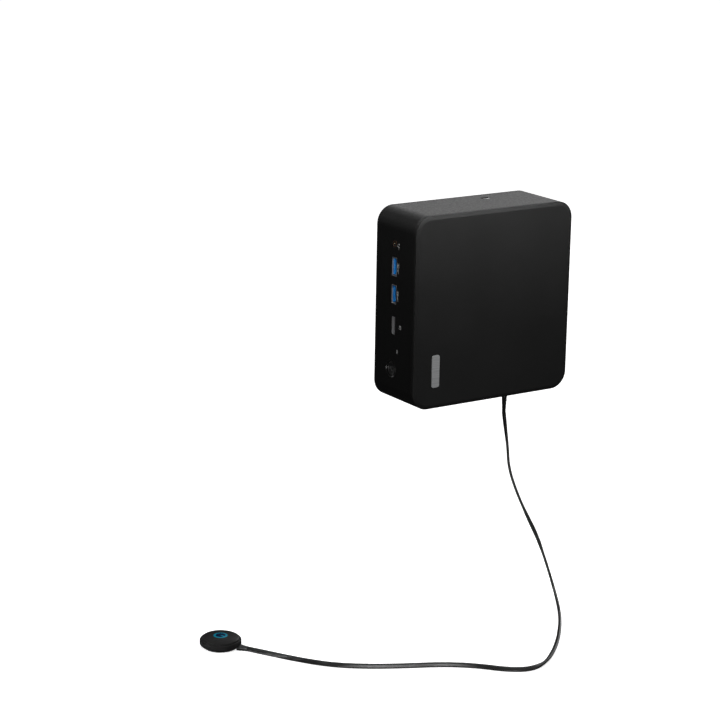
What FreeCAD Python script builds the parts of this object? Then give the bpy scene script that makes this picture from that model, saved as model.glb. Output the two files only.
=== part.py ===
"""Mini PC on its wall plate, with a push-button puck on a thin flat cable.

The frame: +Z is up and +Y points into the wall or screen that the plate is bolted to. The origin is the
centre of the plate's wall side. "Depth" is the distance out from the wall, so it is measured along -Y.
All sizes are millimetres.
"""

import FreeCAD, Part
import math
import os

from FreeCAD import Placement, Rotation, Vector
import Sketcher

DRIVING_SIZES = {
    # casing
    "case_width": 132.5,
    "case_height": 135.6,
    "case_back": 6.0,
    "case_front": 55.0,
    "corner_radius": 12.3,
    "wall": 2.0,
    "cover_thickness": 2.6,
    "cover_edge_width": 2.7,
    "cover_edge_drop": 0.95,
    "base_thickness": 2.4,
    "base_round": 1.0,
    "seam_bevel": 0.3,
    "lip_thickness": 1.2,
    "lip_height": 3.0,
    "fit_gap": 0.15,
    # corner fixings
    "fixing_x": 52.0,
    "fixing_z": 53.5,
    "boss_radius": 3.5,
    "boss_top": 49.0,
    "thread_radius": 1.45,
    "thread_hole_radius": 1.5,
    "foot_radius": 8.0,
    "foot_hole_radius": 3.5,
    "foot_height": 1.1,
    "foot_recess": 0.6,
    # wall plate
    "plate_width": 118.0,
    "plate_thickness": 1.5,
    "plate_step": 4.0,
    "plate_wing_start": 35.0,
    "plate_slope_width": 4.0,
    "wide_pattern": 100.0,
    "narrow_pattern": 75.0,
    "pattern_hole_radius": 2.25,
    "stud_spacing": 72.0,
    "stud_radius": 2.5,
    "stud_head_radius": 4.3,
    "keyhole_radius": 5.0,
    "keyhole_slot_width": 5.4,
    "keyhole_drop": 10.0,
    # main board
    "board_size": 118.0,
    "board_corner": 12.0,
    "board_back": 33.0,
    "board_thickness": 1.6,
    # ports on the left side
    "port_depth": 29.0,
    "audio_height": 45.2,
    "usb_upper_height": 29.2,
    "usb_lower_height": 10.0,
    "card_height": -12.2,
    "light_height": -29.7,
    "light_depth": 34.3,
    "button_height": -43.5,
    "button_depth": 26.9,
    "button_radius": 4.9,
    "button_bezel_radius": 6.1,
    # ports on the right side
    "rear_window_height": 100.0,
    "rear_window_low": 12.0,
    "rear_window_high": 48.0,
    "rear_plate_thickness": 1.6,
    "power_inlet_height": -41.5,
    "video_height": -25.5,
    "type_c_height": -11.0,
    "network_lower_height": 4.5,
    "network_upper_height": 22.0,
    "usb_rear_height": 40.0,
    # cooler
    "fan_x": 10.0,
    "fan_z": -2.0,
    "fan_outer_radius": 32.0,
    "fan_outlet_x": 46.0,
    "fan_back": 41.5,
    "fan_front": 51.0,
    "fan_intake_radius": 20.0,
    "fan_wall": 1.2,
    "shaft_radius": 1.0,
    "shaft_clearance": 0.05,
    "hub_radius": 11.0,
    "blade_tip_radius": 26.5,
    "blade_count": 23,
    "fin_count": 36,
    "fin_pitch": 1.7,
    "fin_thickness": 0.4,
    # button puck and its cable
    "link_x": 31.5,
    "link_depth": 29.0,
    "puck_x": -193.7,
    "puck_y": -13.7,
    "puck_radius": 14.4,
    "puck_height": 8.6,
    "table_level": -228.0,
    "cable_width": 3.5,
}

doc = FreeCAD.newDocument("mini_pc")
sheet = doc.addObject("Spreadsheet::Sheet", "Sizes")
for row, (alias, number) in enumerate(DRIVING_SIZES.items(), start=1):
    sheet.set(f"A{row}", alias)
    sheet.set(f"B{row}", str(number))
    sheet.setAlias(f"B{row}", alias)
doc.recompute()


class Size:
    """A length that carries both its value and its formula in terms of the sheet's cells."""

    def __init__(self, value, text):
        self.value = value
        self.text = text

    def _with(self, other, sign, swap=False):
        first, second = (as_size(other), self) if swap else (self, as_size(other))
        results = {
            "+": first.value + second.value,
            "-": first.value - second.value,
            "*": first.value * second.value,
            "/": first.value / second.value if sign == "/" else 0,
        }
        return Size(results[sign], f"({first.text} {sign} {second.text})")

    def __add__(self, other):
        return self._with(other, "+")

    def __radd__(self, other):
        return self._with(other, "+", swap=True)

    def __sub__(self, other):
        return self._with(other, "-")

    def __rsub__(self, other):
        return self._with(other, "-", swap=True)

    def __mul__(self, other):
        return self._with(other, "*")

    def __rmul__(self, other):
        return self._with(other, "*", swap=True)

    def __truediv__(self, other):
        return self._with(other, "/")

    def __neg__(self):
        return self._with(-1, "*")


def as_size(number):
    """A plain number as a Size; a Size is handed back as it is."""
    if isinstance(number, Size):
        return number
    return Size(float(number), f"({float(number)!r})")


class Cells:
    """The sheet's cells as Sizes, by alias."""


size = Cells()
for alias, number in DRIVING_SIZES.items():
    setattr(size, alias, Size(float(number), f"Sizes.{alias}"))

# Levels that several sub-parts share, as depths out from the wall.
BASE_INNER = size.case_back + size.base_thickness
COVER_INNER = size.case_front - size.cover_thickness
BOARD_FRONT = size.board_back + size.board_thickness
PLATE_FRONT = size.plate_step + size.plate_thickness
CASE_SIDE = size.case_width / 2
CASE_TOP = size.case_height / 2
CORNERS = [(1, 1), (1, -1), (-1, 1), (-1, -1)]

ALONG_X = Rotation(Vector(0, 1, 0), 90)
ALONG_DEPTH = Rotation(Vector(1, 0, 0), 90)
ALONG_Z = Rotation()

nodes = []


# ---------------------------------------------------------------- helpers: documents and placement


def bind(item, path, value):
    """Ties one property of a document object to the sheet."""
    item.setExpression(path, as_size(value).text)


def finished(item, label):
    """Names a finished sub-part and adds it to those that are written out."""
    item.Label = label
    nodes.append(item)
    return item


def place(item, x=0, depth=0, z=0, rotation=ALONG_Z):
    """Puts an object's own origin at a place in the frame, with its position bound to the sheet."""
    item.Placement = Placement(Vector(0, 0, 0), rotation)
    bind(item, "Placement.Base.x", x)
    bind(item, "Placement.Base.y", -as_size(depth))
    bind(item, "Placement.Base.z", z)
    return item


# ---------------------------------------------------------------- helpers: primitives and booleans


def block(x, depth, z):
    """A box between a low and a high value along X, depth and Z."""
    (x_low, x_high), (near, far), (z_low, z_high) = x, depth, z
    item = doc.addObject("Part::Box", "block")
    bind(item, "Length", as_size(x_high) - x_low)
    bind(item, "Width", as_size(far) - near)
    bind(item, "Height", as_size(z_high) - z_low)
    return place(item, x_low, far, z_low)


def around(centre, length):
    """The low and high value of a length centred on a place."""
    return as_size(centre) - as_size(length) / 2, as_size(centre) + as_size(length) / 2


def rod_depth(x, z, depth, radius):
    """A round rod that runs out from the wall between two depths."""
    item = doc.addObject("Part::Cylinder", "rod")
    bind(item, "Radius", radius)
    bind(item, "Height", as_size(depth[1]) - depth[0])
    return place(item, x, depth[0], z, ALONG_DEPTH)


def rod_x(x, depth, z, radius):
    """A round rod along X between two values of X."""
    item = doc.addObject("Part::Cylinder", "rod")
    bind(item, "Radius", radius)
    bind(item, "Height", as_size(x[1]) - x[0])
    return place(item, x[0], depth, z, ALONG_X)


def rod_z(x, depth, z, radius):
    """A round rod along Z between two heights."""
    item = doc.addObject("Part::Cylinder", "rod")
    bind(item, "Radius", radius)
    bind(item, "Height", as_size(z[1]) - z[0])
    return place(item, x, depth, z[0])


def hexagon_depth(x, z, depth, across_flats):
    """A hexagonal bar that runs out from the wall between two depths."""
    item = doc.addObject("Part::Prism", "hexagon")
    item.Polygon = 6
    bind(item, "Circumradius", as_size(across_flats) / math.sqrt(3))
    bind(item, "Height", as_size(depth[1]) - depth[0])
    return place(item, x, depth[0], z, ALONG_DEPTH)


def join(pieces):
    """One solid made from pieces that touch or overlap."""
    if len(pieces) == 1:
        return pieces[0]
    item = doc.addObject("Part::MultiFuse", "joined")
    item.Shapes = pieces
    item.Refine = True
    return item


def remove(base, tools):
    """A solid with the tools cut out of it."""
    item = doc.addObject("Part::Cut", "trimmed")
    item.Base = base
    item.Tool = join(tools)
    item.Refine = True
    return item


def group(pieces):
    """Separate solids that one node holds."""
    item = doc.addObject("Part::Compound", "grouped")
    item.Links = pieces
    return item


# ---------------------------------------------------------------- helpers: bodies and sketches


def new_body(x=0, depth=0, z=0, rotation=ALONG_Z):
    """A PartDesign body whose own origin sits at a place in the frame."""
    body = doc.addObject("PartDesign::Body", "body")
    return place(body, x, depth, z, rotation)


def origin_item(body, role):
    """One of a body's own origin planes or axes, by its role."""
    return next(item for item in body.Origin.OriginFeatures if item.Role == role)


class Profile:
    """A sketch in the making: its curves, and the constraints that hold them to the sheet."""

    def __init__(self, body, plane, level=0):
        self.item = body.newObject("Sketcher::SketchObject", "sketch")
        self.item.AttachmentSupport = [(origin_item(body, plane), "")]
        self.item.MapMode = "FlatFace"
        bind(self.item, "AttachmentOffset.Base.z", level)
        self.held = []

    def curve(self, shape):
        """Adds a curve and gives its number."""
        return self.item.addGeometry(shape, False)

    def pin(self, curve, end, point):
        """Holds one end of a curve, or its centre, at a bound point."""
        for kind, value in zip(("DistanceX", "DistanceY"), point):
            value = as_size(value)
            rule = Sketcher.Constraint(kind, -1, 1, curve, end, value.value)
            self.held.append((rule, value))

    def hold_radius(self, curve, radius):
        """Binds the radius of an arc or a circle."""
        self.held.append((Sketcher.Constraint("Radius", curve, radius.value), radius))

    def close(self):
        """Adds the constraints in one go and binds each to the sheet."""
        self.item.addConstraint([rule for rule, _ in self.held])
        for number, (_, value) in enumerate(self.held):
            bind(self.item, f"Constraints[{number}]", value)
        return self.item


def sketch(body, plane, level=0):
    """An empty sketch on one of the body's origin planes, moved out along that plane's normal."""
    return Profile(body, plane, level)


def flat_point(point):
    """A point of Sizes as a vector in the sketch's plane."""
    return Vector(as_size(point[0]).value, as_size(point[1]).value, 0)


def outline(profile, points):
    """A closed outline of straight lines through bound points."""
    for start, end in zip(points, points[1:] + points[:1]):
        curve = profile.curve(Part.LineSegment(flat_point(start), flat_point(end)))
        profile.pin(curve, 1, start)
        profile.pin(curve, 2, end)
    return profile


def ring_outline(profile, radius, x=0, y=0):
    """A circle with its centre and radius bound."""
    radius = as_size(radius)
    curve = profile.curve(Part.Circle(flat_point((x, y)), Vector(0, 0, 1), radius.value))
    profile.pin(curve, 3, (x, y))
    profile.hold_radius(curve, radius)
    return profile


def rounded_outline(profile, width, height, radius, x=0, y=0):
    """A rectangle with round corners, centred on a point."""
    half_width, half_height, radius = as_size(width) / 2, as_size(height) / 2, as_size(radius)
    x, y = as_size(x), as_size(y)
    ends = []
    for side, level, start in [(1, 1, 0), (-1, 1, 90), (-1, -1, 180), (1, -1, 270)]:
        centre = (x + side * (half_width - radius), y + level * (half_height - radius))
        circle = Part.Circle(flat_point(centre), Vector(0, 0, 1), radius.value)
        begin, finish = math.radians(start), math.radians(start + 90)
        curve = profile.curve(Part.ArcOfCircle(circle, begin, finish))
        on_side = (x + side * half_width, centre[1])
        on_level = (centre[0], y + level * half_height)
        first, last = (on_side, on_level) if side * level > 0 else (on_level, on_side)
        profile.pin(curve, 1, first)
        profile.pin(curve, 2, last)
        profile.hold_radius(curve, radius)
        ends.append((first, last))
    for (_, start), (end, _) in zip(ends, ends[1:] + ends[:1]):
        curve = profile.curve(Part.LineSegment(flat_point(start), flat_point(end)))
        profile.pin(curve, 1, start)
        profile.pin(curve, 2, end)
    return profile


def pad(body, profile, length, both=False):
    """Material from the sketch out along its plane's normal, or half of it to each side."""
    feature = body.newObject("PartDesign::Pad", "pad")
    feature.Profile = profile.close()
    feature.Midplane = both
    bind(feature, "Length", length)
    doc.recompute()
    return feature


def pocket(body, profile, length, both=False):
    """A cut from the sketch back against its plane's normal, or half of it to each side."""
    before = body.Shape.Volume
    feature = body.newObject("PartDesign::Pocket", "pocket")
    feature.Profile = profile.close()
    feature.Midplane = both
    bind(feature, "Length", length)
    doc.recompute()
    if body.Shape.Volume > before - 1e-6:
        raise RuntimeError(f"a pocket of {body.Name} cuts nothing")
    return feature


def repeat(body, feature, role, pitch, count):
    """A row of copies of a feature along one of the body's own axes."""
    row_of = body.newObject("PartDesign::LinearPattern", "row")
    row_of.Originals = [feature]
    row_of.Direction = (origin_item(body, role), [""])
    bind(row_of, "Length", as_size(pitch) * (as_size(count) - 1))
    bind(row_of, "Occurrences", count)
    body.Tip = row_of
    doc.recompute()
    return row_of


def revolve(body, profile):
    """A full turn of the sketch about the body's own Z axis."""
    feature = body.newObject("PartDesign::Revolution", "turned")
    feature.Profile = profile.close()
    feature.ReferenceAxis = (origin_item(body, "Z_Axis"), [""])
    feature.Angle = 360
    doc.recompute()
    return feature


def blend(body, profiles, ruled=False):
    """A solid that runs through the profiles in turn, with flat sides between them if ruled."""
    sections = [profile.close() for profile in profiles]
    loft = body.newObject("PartDesign::AdditiveLoft", "loft")
    loft.Profile = sections[0]
    loft.Sections = sections[1:]
    loft.Ruled = ruled
    doc.recompute()
    return loft


def soften(body, radius, wanted, kind="Fillet"):
    """Rounds or bevels the edges of the body that the test picks out."""
    tip = body.Tip
    edges = [f"Edge{n}" for n, edge in enumerate(tip.Shape.Edges, start=1) if wanted(edge)]
    feature = body.newObject(f"PartDesign::{kind}", kind.lower())
    feature.Base = (tip, edges)
    bind(feature, "Radius" if kind == "Fillet" else "Size", radius)
    doc.recompute()
    return feature


def lies_at(edge, axis, value, tolerance=0.01):
    """True if the whole edge lies at one value of X, Y or Z in its body's own frame."""
    box = edge.BoundBox
    low, high = getattr(box, f"{axis}Min"), getattr(box, f"{axis}Max")
    return abs(low - value) < tolerance and abs(high - value) < tolerance


def outer_rim(depth, width, height):
    """A test for the edges on the outer outline of a plate's face at one depth."""

    def wanted(edge):
        box = edge.BoundBox
        over_x = max(-box.XMin, box.XMax) - width.value / 2
        over_z = max(-box.ZMin, box.ZMax) - height.value / 2
        return lies_at(edge, "Y", -depth.value) and min(abs(over_x), abs(over_z)) < 0.01

    return wanted


def turned(points, x=0, depth=0, z=0, rotation=ALONG_Z):
    """A body turned about its own Z axis from an outline of (radius, height) points."""
    body = new_body(x, depth, z, rotation)
    revolve(body, outline(sketch(body, "XZ_Plane"), points))
    return body


# ---------------------------------------------------------------- casing


def case_outline(item, inset=0):
    """The case's rounded outline, drawn a given distance inside its outer face."""
    return rounded_outline(
        item,
        size.case_width - 2 * as_size(inset),
        size.case_height - 2 * as_size(inset),
        size.corner_radius - inset,
    )


def add_lip(body, low):
    """A thin ring that stands off a cover and slides inside the frame's wall."""
    outer = size.wall + size.fit_gap
    profile = case_outline(sketch(body, "XZ_Plane", low), outer)
    case_outline(profile, outer + size.lip_thickness)
    pad(body, profile, size.lip_height)


def top_cover():
    """The front panel, with a soft outer edge and a lip inside the frame."""
    body = new_body()
    edge_start = size.case_front - size.cover_edge_drop
    pad(body, case_outline(sketch(body, "XZ_Plane", COVER_INNER)), edge_start - COVER_INNER)
    steps = ((0, 0), (0.1, 0.4), (1, 1))
    sections = []
    for inward, forward in steps:
        item = sketch(body, "XZ_Plane", edge_start + size.cover_edge_drop * forward)
        sections.append(case_outline(item, size.cover_edge_width * inward))
    blend(body, sections, ruled=True)
    add_lip(body, COVER_INNER - size.lip_height)
    return finished(body, "top_cover")


def add_frame_bosses(body):
    """Four threaded bosses in the frame's corners, each tied to the side wall by a web."""
    web = size.wall * 1.2
    profile = sketch(body, "XZ_Plane", BOARD_FRONT)
    height = size.boss_top - BOARD_FRONT
    for side, level in CORNERS:
        ring_outline(profile, size.boss_radius, side * size.fixing_x, level * size.fixing_z)
    pad(body, profile, height)
    profile = sketch(body, "XZ_Plane", BOARD_FRONT)
    for side, level in CORNERS:
        low, high = around(level * size.fixing_z, web)
        near, far = side * size.fixing_x, side * (CASE_SIDE - size.wall * 0.9)
        outline(profile, [(near, low), (far, low), (far, high), (near, high)])
    pad(body, profile, height)
    profile = sketch(body, "XZ_Plane", BOARD_FRONT + 10)
    for side, level in CORNERS:
        ring_outline(profile, size.thread_hole_radius, side * size.fixing_x, level * size.fixing_z)
    pocket(body, profile, 10)


def cut_left_openings(body):
    """The port windows, the light hole and the button's dish in the left wall."""
    through = size.wall * 3
    profile = sketch(body, "YZ_Plane", -CASE_SIDE)
    ring_outline(profile, 3.3, -size.port_depth, size.audio_height)
    for height in (size.usb_upper_height, size.usb_lower_height):
        rounded_outline(profile, 6.3, 13.9, 0.5, -size.port_depth, height)
    rounded_outline(profile, 4.4, 13.0, 0.4, -size.port_depth, size.card_height)
    rounded_outline(profile, 1.5, 3.1, 0.7, -size.light_depth, size.light_height)
    ring_outline(profile, size.button_radius + 0.2, -size.button_depth, size.button_height)
    pocket(body, profile, through, both=True)
    dish = sketch(body, "YZ_Plane", -CASE_SIDE)
    ring_outline(dish, size.button_bezel_radius, -size.button_depth, size.button_height)
    pocket(body, dish, 2.0, both=True)


LOCK_X = 16.3
LOCK_DEPTH = 18.6
VENT_COUNT = 16
VENT_START = -46.0
VENT_PITCH = 4.0


def cut_other_openings(body):
    """The right-hand window, the lock slot in the top and the cable socket and vents underneath."""
    through = size.wall * 3
    window = sketch(body, "YZ_Plane", CASE_SIDE)
    middle = (size.rear_window_low + size.rear_window_high) / 2
    depth = size.rear_window_high - size.rear_window_low
    rounded_outline(window, depth, size.rear_window_height, 3, -middle, 0)
    pocket(body, window, through, both=True)
    slot = sketch(body, "XY_Plane", CASE_TOP)
    rounded_outline(slot, 7.0, 3.0, 0.8, LOCK_X, -LOCK_DEPTH)
    pocket(body, slot, through, both=True)
    under = sketch(body, "XY_Plane", -CASE_TOP)
    rounded_outline(under, 5.4, 11.6, 1.2, size.link_x, -size.link_depth)
    pocket(body, under, through, both=True)
    vent = sketch(body, "XY_Plane", -CASE_TOP)
    rounded_outline(vent, 2.0, 18.0, 0.9, VENT_START, -size.port_depth)
    repeat(body, pocket(body, vent, through, both=True), "X_Axis", VENT_PITCH, VENT_COUNT)


def side_frame():
    """The four walls in one piece, open at the front and the back."""
    body = new_body()
    profile = case_outline(sketch(body, "XZ_Plane", BASE_INNER))
    case_outline(profile, size.wall)
    pad(body, profile, COVER_INNER - BASE_INNER)
    for depth in (BASE_INNER, COVER_INNER):
        soften(body, size.seam_bevel, outer_rim(depth, size.case_width, size.case_height), kind="Chamfer")
    add_frame_bosses(body)
    cut_left_openings(body)
    cut_other_openings(body)
    return finished(body, "side_frame")


BASE_VENT_ROWS = 9
BASE_VENT_COLUMNS = 6
BASE_VENT_PITCH = 5.0


def base_cover():
    """The removable back panel, with its lip, screw posts, foot recesses, vents and stud bosses."""
    body = new_body()
    pad(body, case_outline(sketch(body, "XZ_Plane", size.case_back)), size.base_thickness)
    soften(body, size.base_round, outer_rim(size.case_back, size.case_width, size.case_height))
    add_lip(body, BASE_INNER)
    posts = sketch(body, "XZ_Plane", BASE_INNER)
    for side, level in CORNERS:
        ring_outline(posts, 4.2, side * size.fixing_x, level * size.fixing_z)
    for level in (1, -1):
        ring_outline(posts, 4.0, 0, level * size.stud_spacing / 2)
    pad(body, posts, 2.4)
    recess = sketch(body, "XZ_Plane", size.case_back + size.foot_recess)
    for side, level in CORNERS:
        ring_outline(recess, size.foot_radius + 0.1, side * size.fixing_x, level * size.fixing_z)
    pocket(body, recess, size.foot_recess)
    seats = sketch(body, "XZ_Plane", size.case_back + 2.2)
    for side, level in CORNERS:
        ring_outline(seats, 3.1, side * size.fixing_x, level * size.fixing_z)
    pocket(body, seats, 2.2)
    holes = sketch(body, "XZ_Plane", size.case_back)
    for side, level in CORNERS:
        ring_outline(holes, 1.65, side * size.fixing_x, level * size.fixing_z)
    for level in (1, -1):
        ring_outline(holes, size.thread_hole_radius, 0, level * size.stud_spacing / 2)
    pocket(body, holes, 30, both=True)
    vents = sketch(body, "XZ_Plane", size.case_back)
    first = -(BASE_VENT_ROWS - 1) / 2 * BASE_VENT_PITCH
    for column in range(BASE_VENT_COLUMNS):
        x = (column - (BASE_VENT_COLUMNS - 1) / 2) * 14.0
        rounded_outline(vents, 11.0, 1.8, 0.85, x, first)
    slots = pocket(body, vents, 30, both=True)
    repeat(body, slots, "Z_Axis", BASE_VENT_PITCH, BASE_VENT_ROWS)
    return finished(body, "base_cover")


def cover_badge():
    """A plain oblong trim plate near the front panel's lower left corner."""
    body = new_body()
    profile = sketch(body, "XZ_Plane", size.case_front)
    rounded_outline(profile, 6.4, 23.0, 1.6, -48.0, -41.2)
    pad(body, profile, 0.25)
    return finished(body, "cover_badge")


def rubber_feet():
    """Four ring-shaped feet, each round one of the base's screws."""
    feet = []
    for side, level in CORNERS:
        x, z = side * size.fixing_x, level * size.fixing_z
        span = (size.case_back - size.foot_height, size.case_back + size.foot_recess)
        ring = rod_depth(x, z, span, size.foot_radius)
        feet.append(remove(ring, [rod_depth(x, z, (0, size.case_front), size.foot_hole_radius)]))
    return finished(group(feet), "rubber_feet")


def base_screws():
    """Four cross-head screws from the base panel into the board's standoffs."""
    screws = []
    for side, level in CORNERS:
        x, z = side * size.fixing_x, level * size.fixing_z
        seat = size.case_back + 2.2
        head = rod_depth(x, z, (size.case_back + 0.7, seat), 2.8)
        shank = rod_depth(x, z, (seat, 19), size.thread_radius)
        depth = (size.case_back, size.case_back + 1.4)
        cross = [
            block(around(x, 2.6), depth, around(z, 0.6)),
            block(around(x, 0.6), depth, around(z, 2.6)),
        ]
        screws.append(remove(join([head, shank]), cross))
    return finished(group(screws), "base_screws")


def lock_plate():
    """A steel strip behind the lock slot, with the same slot in it."""
    top = CASE_TOP - size.wall
    plate = block(around(LOCK_X, 22), around(LOCK_DEPTH, 9), (top - 1.2, top))
    slot = block(around(LOCK_X, 7.0), around(LOCK_DEPTH, 3.0), (top - 2, top + 1))
    return finished(remove(plate, [slot]), "lock_plate")


# ---------------------------------------------------------------- wall plate


def vesa_plate():
    """A folded steel plate: flat wings that bolt on, and a raised middle with two keyholes."""
    body = new_body()
    half, thick, step = size.plate_width / 2, size.plate_thickness, size.plate_step
    wing, slope = size.plate_wing_start, size.plate_slope_width
    lean = thick * 0.4
    right = [
        (wing - slope, -step - thick),
        (wing, -thick),
        (half, -thick),
        (half, 0),
        (wing - lean, 0),
        (wing - slope - lean, -step),
    ]
    left = [(-x, y) for x, y in reversed(right)]
    pad(body, outline(sketch(body, "XY_Plane"), right + left), size.plate_width, both=True)
    soften(body, 6, lambda edge: at_corner(edge, half.value))
    cut_plate_holes(body)
    return finished(body, "vesa_plate")


def at_corner(edge, half):
    """True for an edge that stands at one of a square plate's four corners."""
    at_side = lies_at(edge, "X", half) or lies_at(edge, "X", -half)
    return at_side and (lies_at(edge, "Z", half) or lies_at(edge, "Z", -half))


def cut_plate_holes(body):
    """The two standard hole patterns and the two keyholes."""
    holes = sketch(body, "XZ_Plane")
    for pattern in (size.wide_pattern, size.narrow_pattern):
        for side, level in CORNERS:
            ring_outline(holes, size.pattern_hole_radius, side * pattern / 2, level * pattern / 2)
    pocket(body, holes, 30, both=True)
    for level in (1, -1):
        seat = level * size.stud_spacing / 2
        entry = sketch(body, "XZ_Plane")
        ring_outline(entry, size.keyhole_radius, 0, seat + size.keyhole_drop)
        pocket(body, entry, 30, both=True)
        slot = sketch(body, "XZ_Plane")
        width, drop = size.keyhole_slot_width, size.keyhole_drop
        rounded_outline(slot, width, drop + width, width / 2 - 0.01, 0, seat + drop / 2)
        pocket(body, slot, 30, both=True)


def plate_studs():
    """Two shouldered screws in the base panel whose heads hook behind the plate's keyholes."""
    studs = []
    behind = size.plate_step - 0.2
    for level in (1, -1):
        z = level * size.stud_spacing / 2
        head = rod_depth(0, z, (behind - 1.4, behind), size.stud_head_radius)
        shoulder = rod_depth(0, z, (behind, size.case_back), size.stud_radius)
        thread = rod_depth(0, z, (size.case_back, BASE_INNER + 2), size.thread_radius)
        studs.append(join([head, shoulder, thread]))
    return finished(group(studs), "plate_studs")


# ---------------------------------------------------------------- main board


def motherboard():
    """The main board, drilled for the four standoffs."""
    body = new_body()
    profile = sketch(body, "XZ_Plane", size.board_back)
    rounded_outline(profile, size.board_size, size.board_size, size.board_corner)
    for side, level in CORNERS:
        ring_outline(profile, 1.6, side * size.fixing_x, level * size.fixing_z)
    pad(body, profile, size.board_thickness)
    return finished(body, "motherboard")


def board_standoffs():
    """Four hexagonal standoffs that clamp the board to the frame and take the base screws."""
    pieces = []
    for side, level in CORNERS:
        x, z = side * size.fixing_x, level * size.fixing_z
        bar = hexagon_depth(x, z, (BASE_INNER + 2.6, size.board_back), 5.5)
        stud = rod_depth(x, z, (size.board_back, BOARD_FRONT + 6), size.thread_radius)
        bore = rod_depth(x, z, (BASE_INNER, 21), size.thread_hole_radius)
        pieces.append(remove(join([bar, stud]), [bore]))
    return finished(group(pieces), "board_standoffs")


def processor():
    """The processor: its carrier with the bare chip on top."""
    x, z = size.fan_x, size.fan_z
    carrier = block(around(x, 50), (BOARD_FRONT, BOARD_FRONT + 0.8), around(z, 25))
    chip = block(around(x, 24), (BOARD_FRONT + 0.8, HEATSINK_BACK), around(z, 10))
    return finished(join([carrier, chip]), "processor")


HEATSINK_BACK = BOARD_FRONT + 1.4
PIPE_BACK = HEATSINK_BACK + 2.2
PIPE_FRONT = PIPE_BACK + 3.0
FIN_X = 54.0
FIN_WIDTH = 13.0


def cold_plate():
    """The copper plate on the processor, with a groove for the heat pipe."""
    x, z = size.fan_x, size.fan_z
    plate = block(around(x, 50), (HEATSINK_BACK, PIPE_BACK), around(z, 40))
    holes = [
        rod_depth(x + side * 22, z + level * 17, (0, size.case_front), 1.1) for side, level in CORNERS
    ]
    return finished(remove(plate, holes), "cold_plate")


def heat_pipe():
    """A flattened pipe that runs over the copper plate and turns along under the fins."""
    body = new_body()
    bend, start_x, level = 12.0, -14.0, size.fan_z - 10
    far_x = FIN_X
    route = body.newObject("Sketcher::SketchObject", "route")
    route.AttachmentSupport = [(origin_item(body, "XZ_Plane"), "")]
    route.MapMode = "FlatFace"
    bind(route, "AttachmentOffset.Base.z", (PIPE_BACK + PIPE_FRONT) / 2)
    height = level.value
    route.addGeometry(Part.LineSegment(Vector(start_x, height, 0), Vector(far_x - bend, height, 0)))
    turn = Part.Circle(Vector(far_x - bend, height + bend, 0), Vector(0, 0, 1), bend)
    route.addGeometry(Part.ArcOfCircle(turn, -math.pi / 2, 0))
    route.addGeometry(Part.LineSegment(Vector(far_x, height + bend, 0), Vector(far_x, 27, 0)))
    section = sketch(body, "YZ_Plane", start_x)
    flat = PIPE_FRONT - PIPE_BACK
    rounded_outline(section, flat, 8.0, flat / 2 - 0.02, -(PIPE_BACK + PIPE_FRONT) / 2, level)
    pipe = body.newObject("PartDesign::AdditivePipe", "pipe")
    pipe.Profile = section.close()
    pipe.Spine = route
    doc.recompute()
    return finished(body, "heat_pipe")


def fin_stack():
    """A stack of thin fins soldered to the heat pipe, in front of the fan's outlet."""
    body = new_body()
    low = size.fan_z - size.fin_pitch * (size.fin_count - 1) / 2
    floor = sketch(body, "XZ_Plane", PIPE_FRONT)
    length = size.fin_pitch * (size.fin_count - 1) + size.fin_thickness
    outline(floor, rectangle(around(FIN_X, FIN_WIDTH), around(size.fan_z, length)))
    pad(body, floor, 0.6)
    first = sketch(body, "XZ_Plane", PIPE_FRONT)
    outline(first, rectangle(around(FIN_X, FIN_WIDTH), around(low, size.fin_thickness)))
    repeat(body, pad(body, first, 9.6), "Z_Axis", size.fin_pitch, size.fin_count)
    return finished(body, "fin_stack")


def rectangle(x, y):
    """The four corners of a rectangle given its low and high value each way."""
    return [(x[0], y[0]), (x[1], y[0]), (x[1], y[1]), (x[0], y[1])]


# ---------------------------------------------------------------- fan


def housing_outline(profile, inset, outlet_x):
    """The fan housing's outline: a half round at the left, straight to the outlet at the right."""
    radius = size.fan_outer_radius - inset
    x, z = size.fan_x, size.fan_z
    top, bottom = (x, z + radius), (x, z - radius)
    circle = Part.Circle(flat_point((x, z)), Vector(0, 0, 1), radius.value)
    curve = profile.curve(Part.ArcOfCircle(circle, math.pi / 2, 3 * math.pi / 2))
    profile.pin(curve, 1, top)
    profile.pin(curve, 2, bottom)
    corners = [bottom, (outlet_x, bottom[1]), (outlet_x, top[1]), top]
    for start, end in zip(corners, corners[1:]):
        curve = profile.curve(Part.LineSegment(flat_point(start), flat_point(end)))
        profile.pin(curve, 1, start)
        profile.pin(curve, 2, end)
    return profile


FAN_EARS = [(-15.1, 21.8), (-15.1, -25.8), (38.0, 32.4)]
EAR_THICKNESS = 1.6


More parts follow.
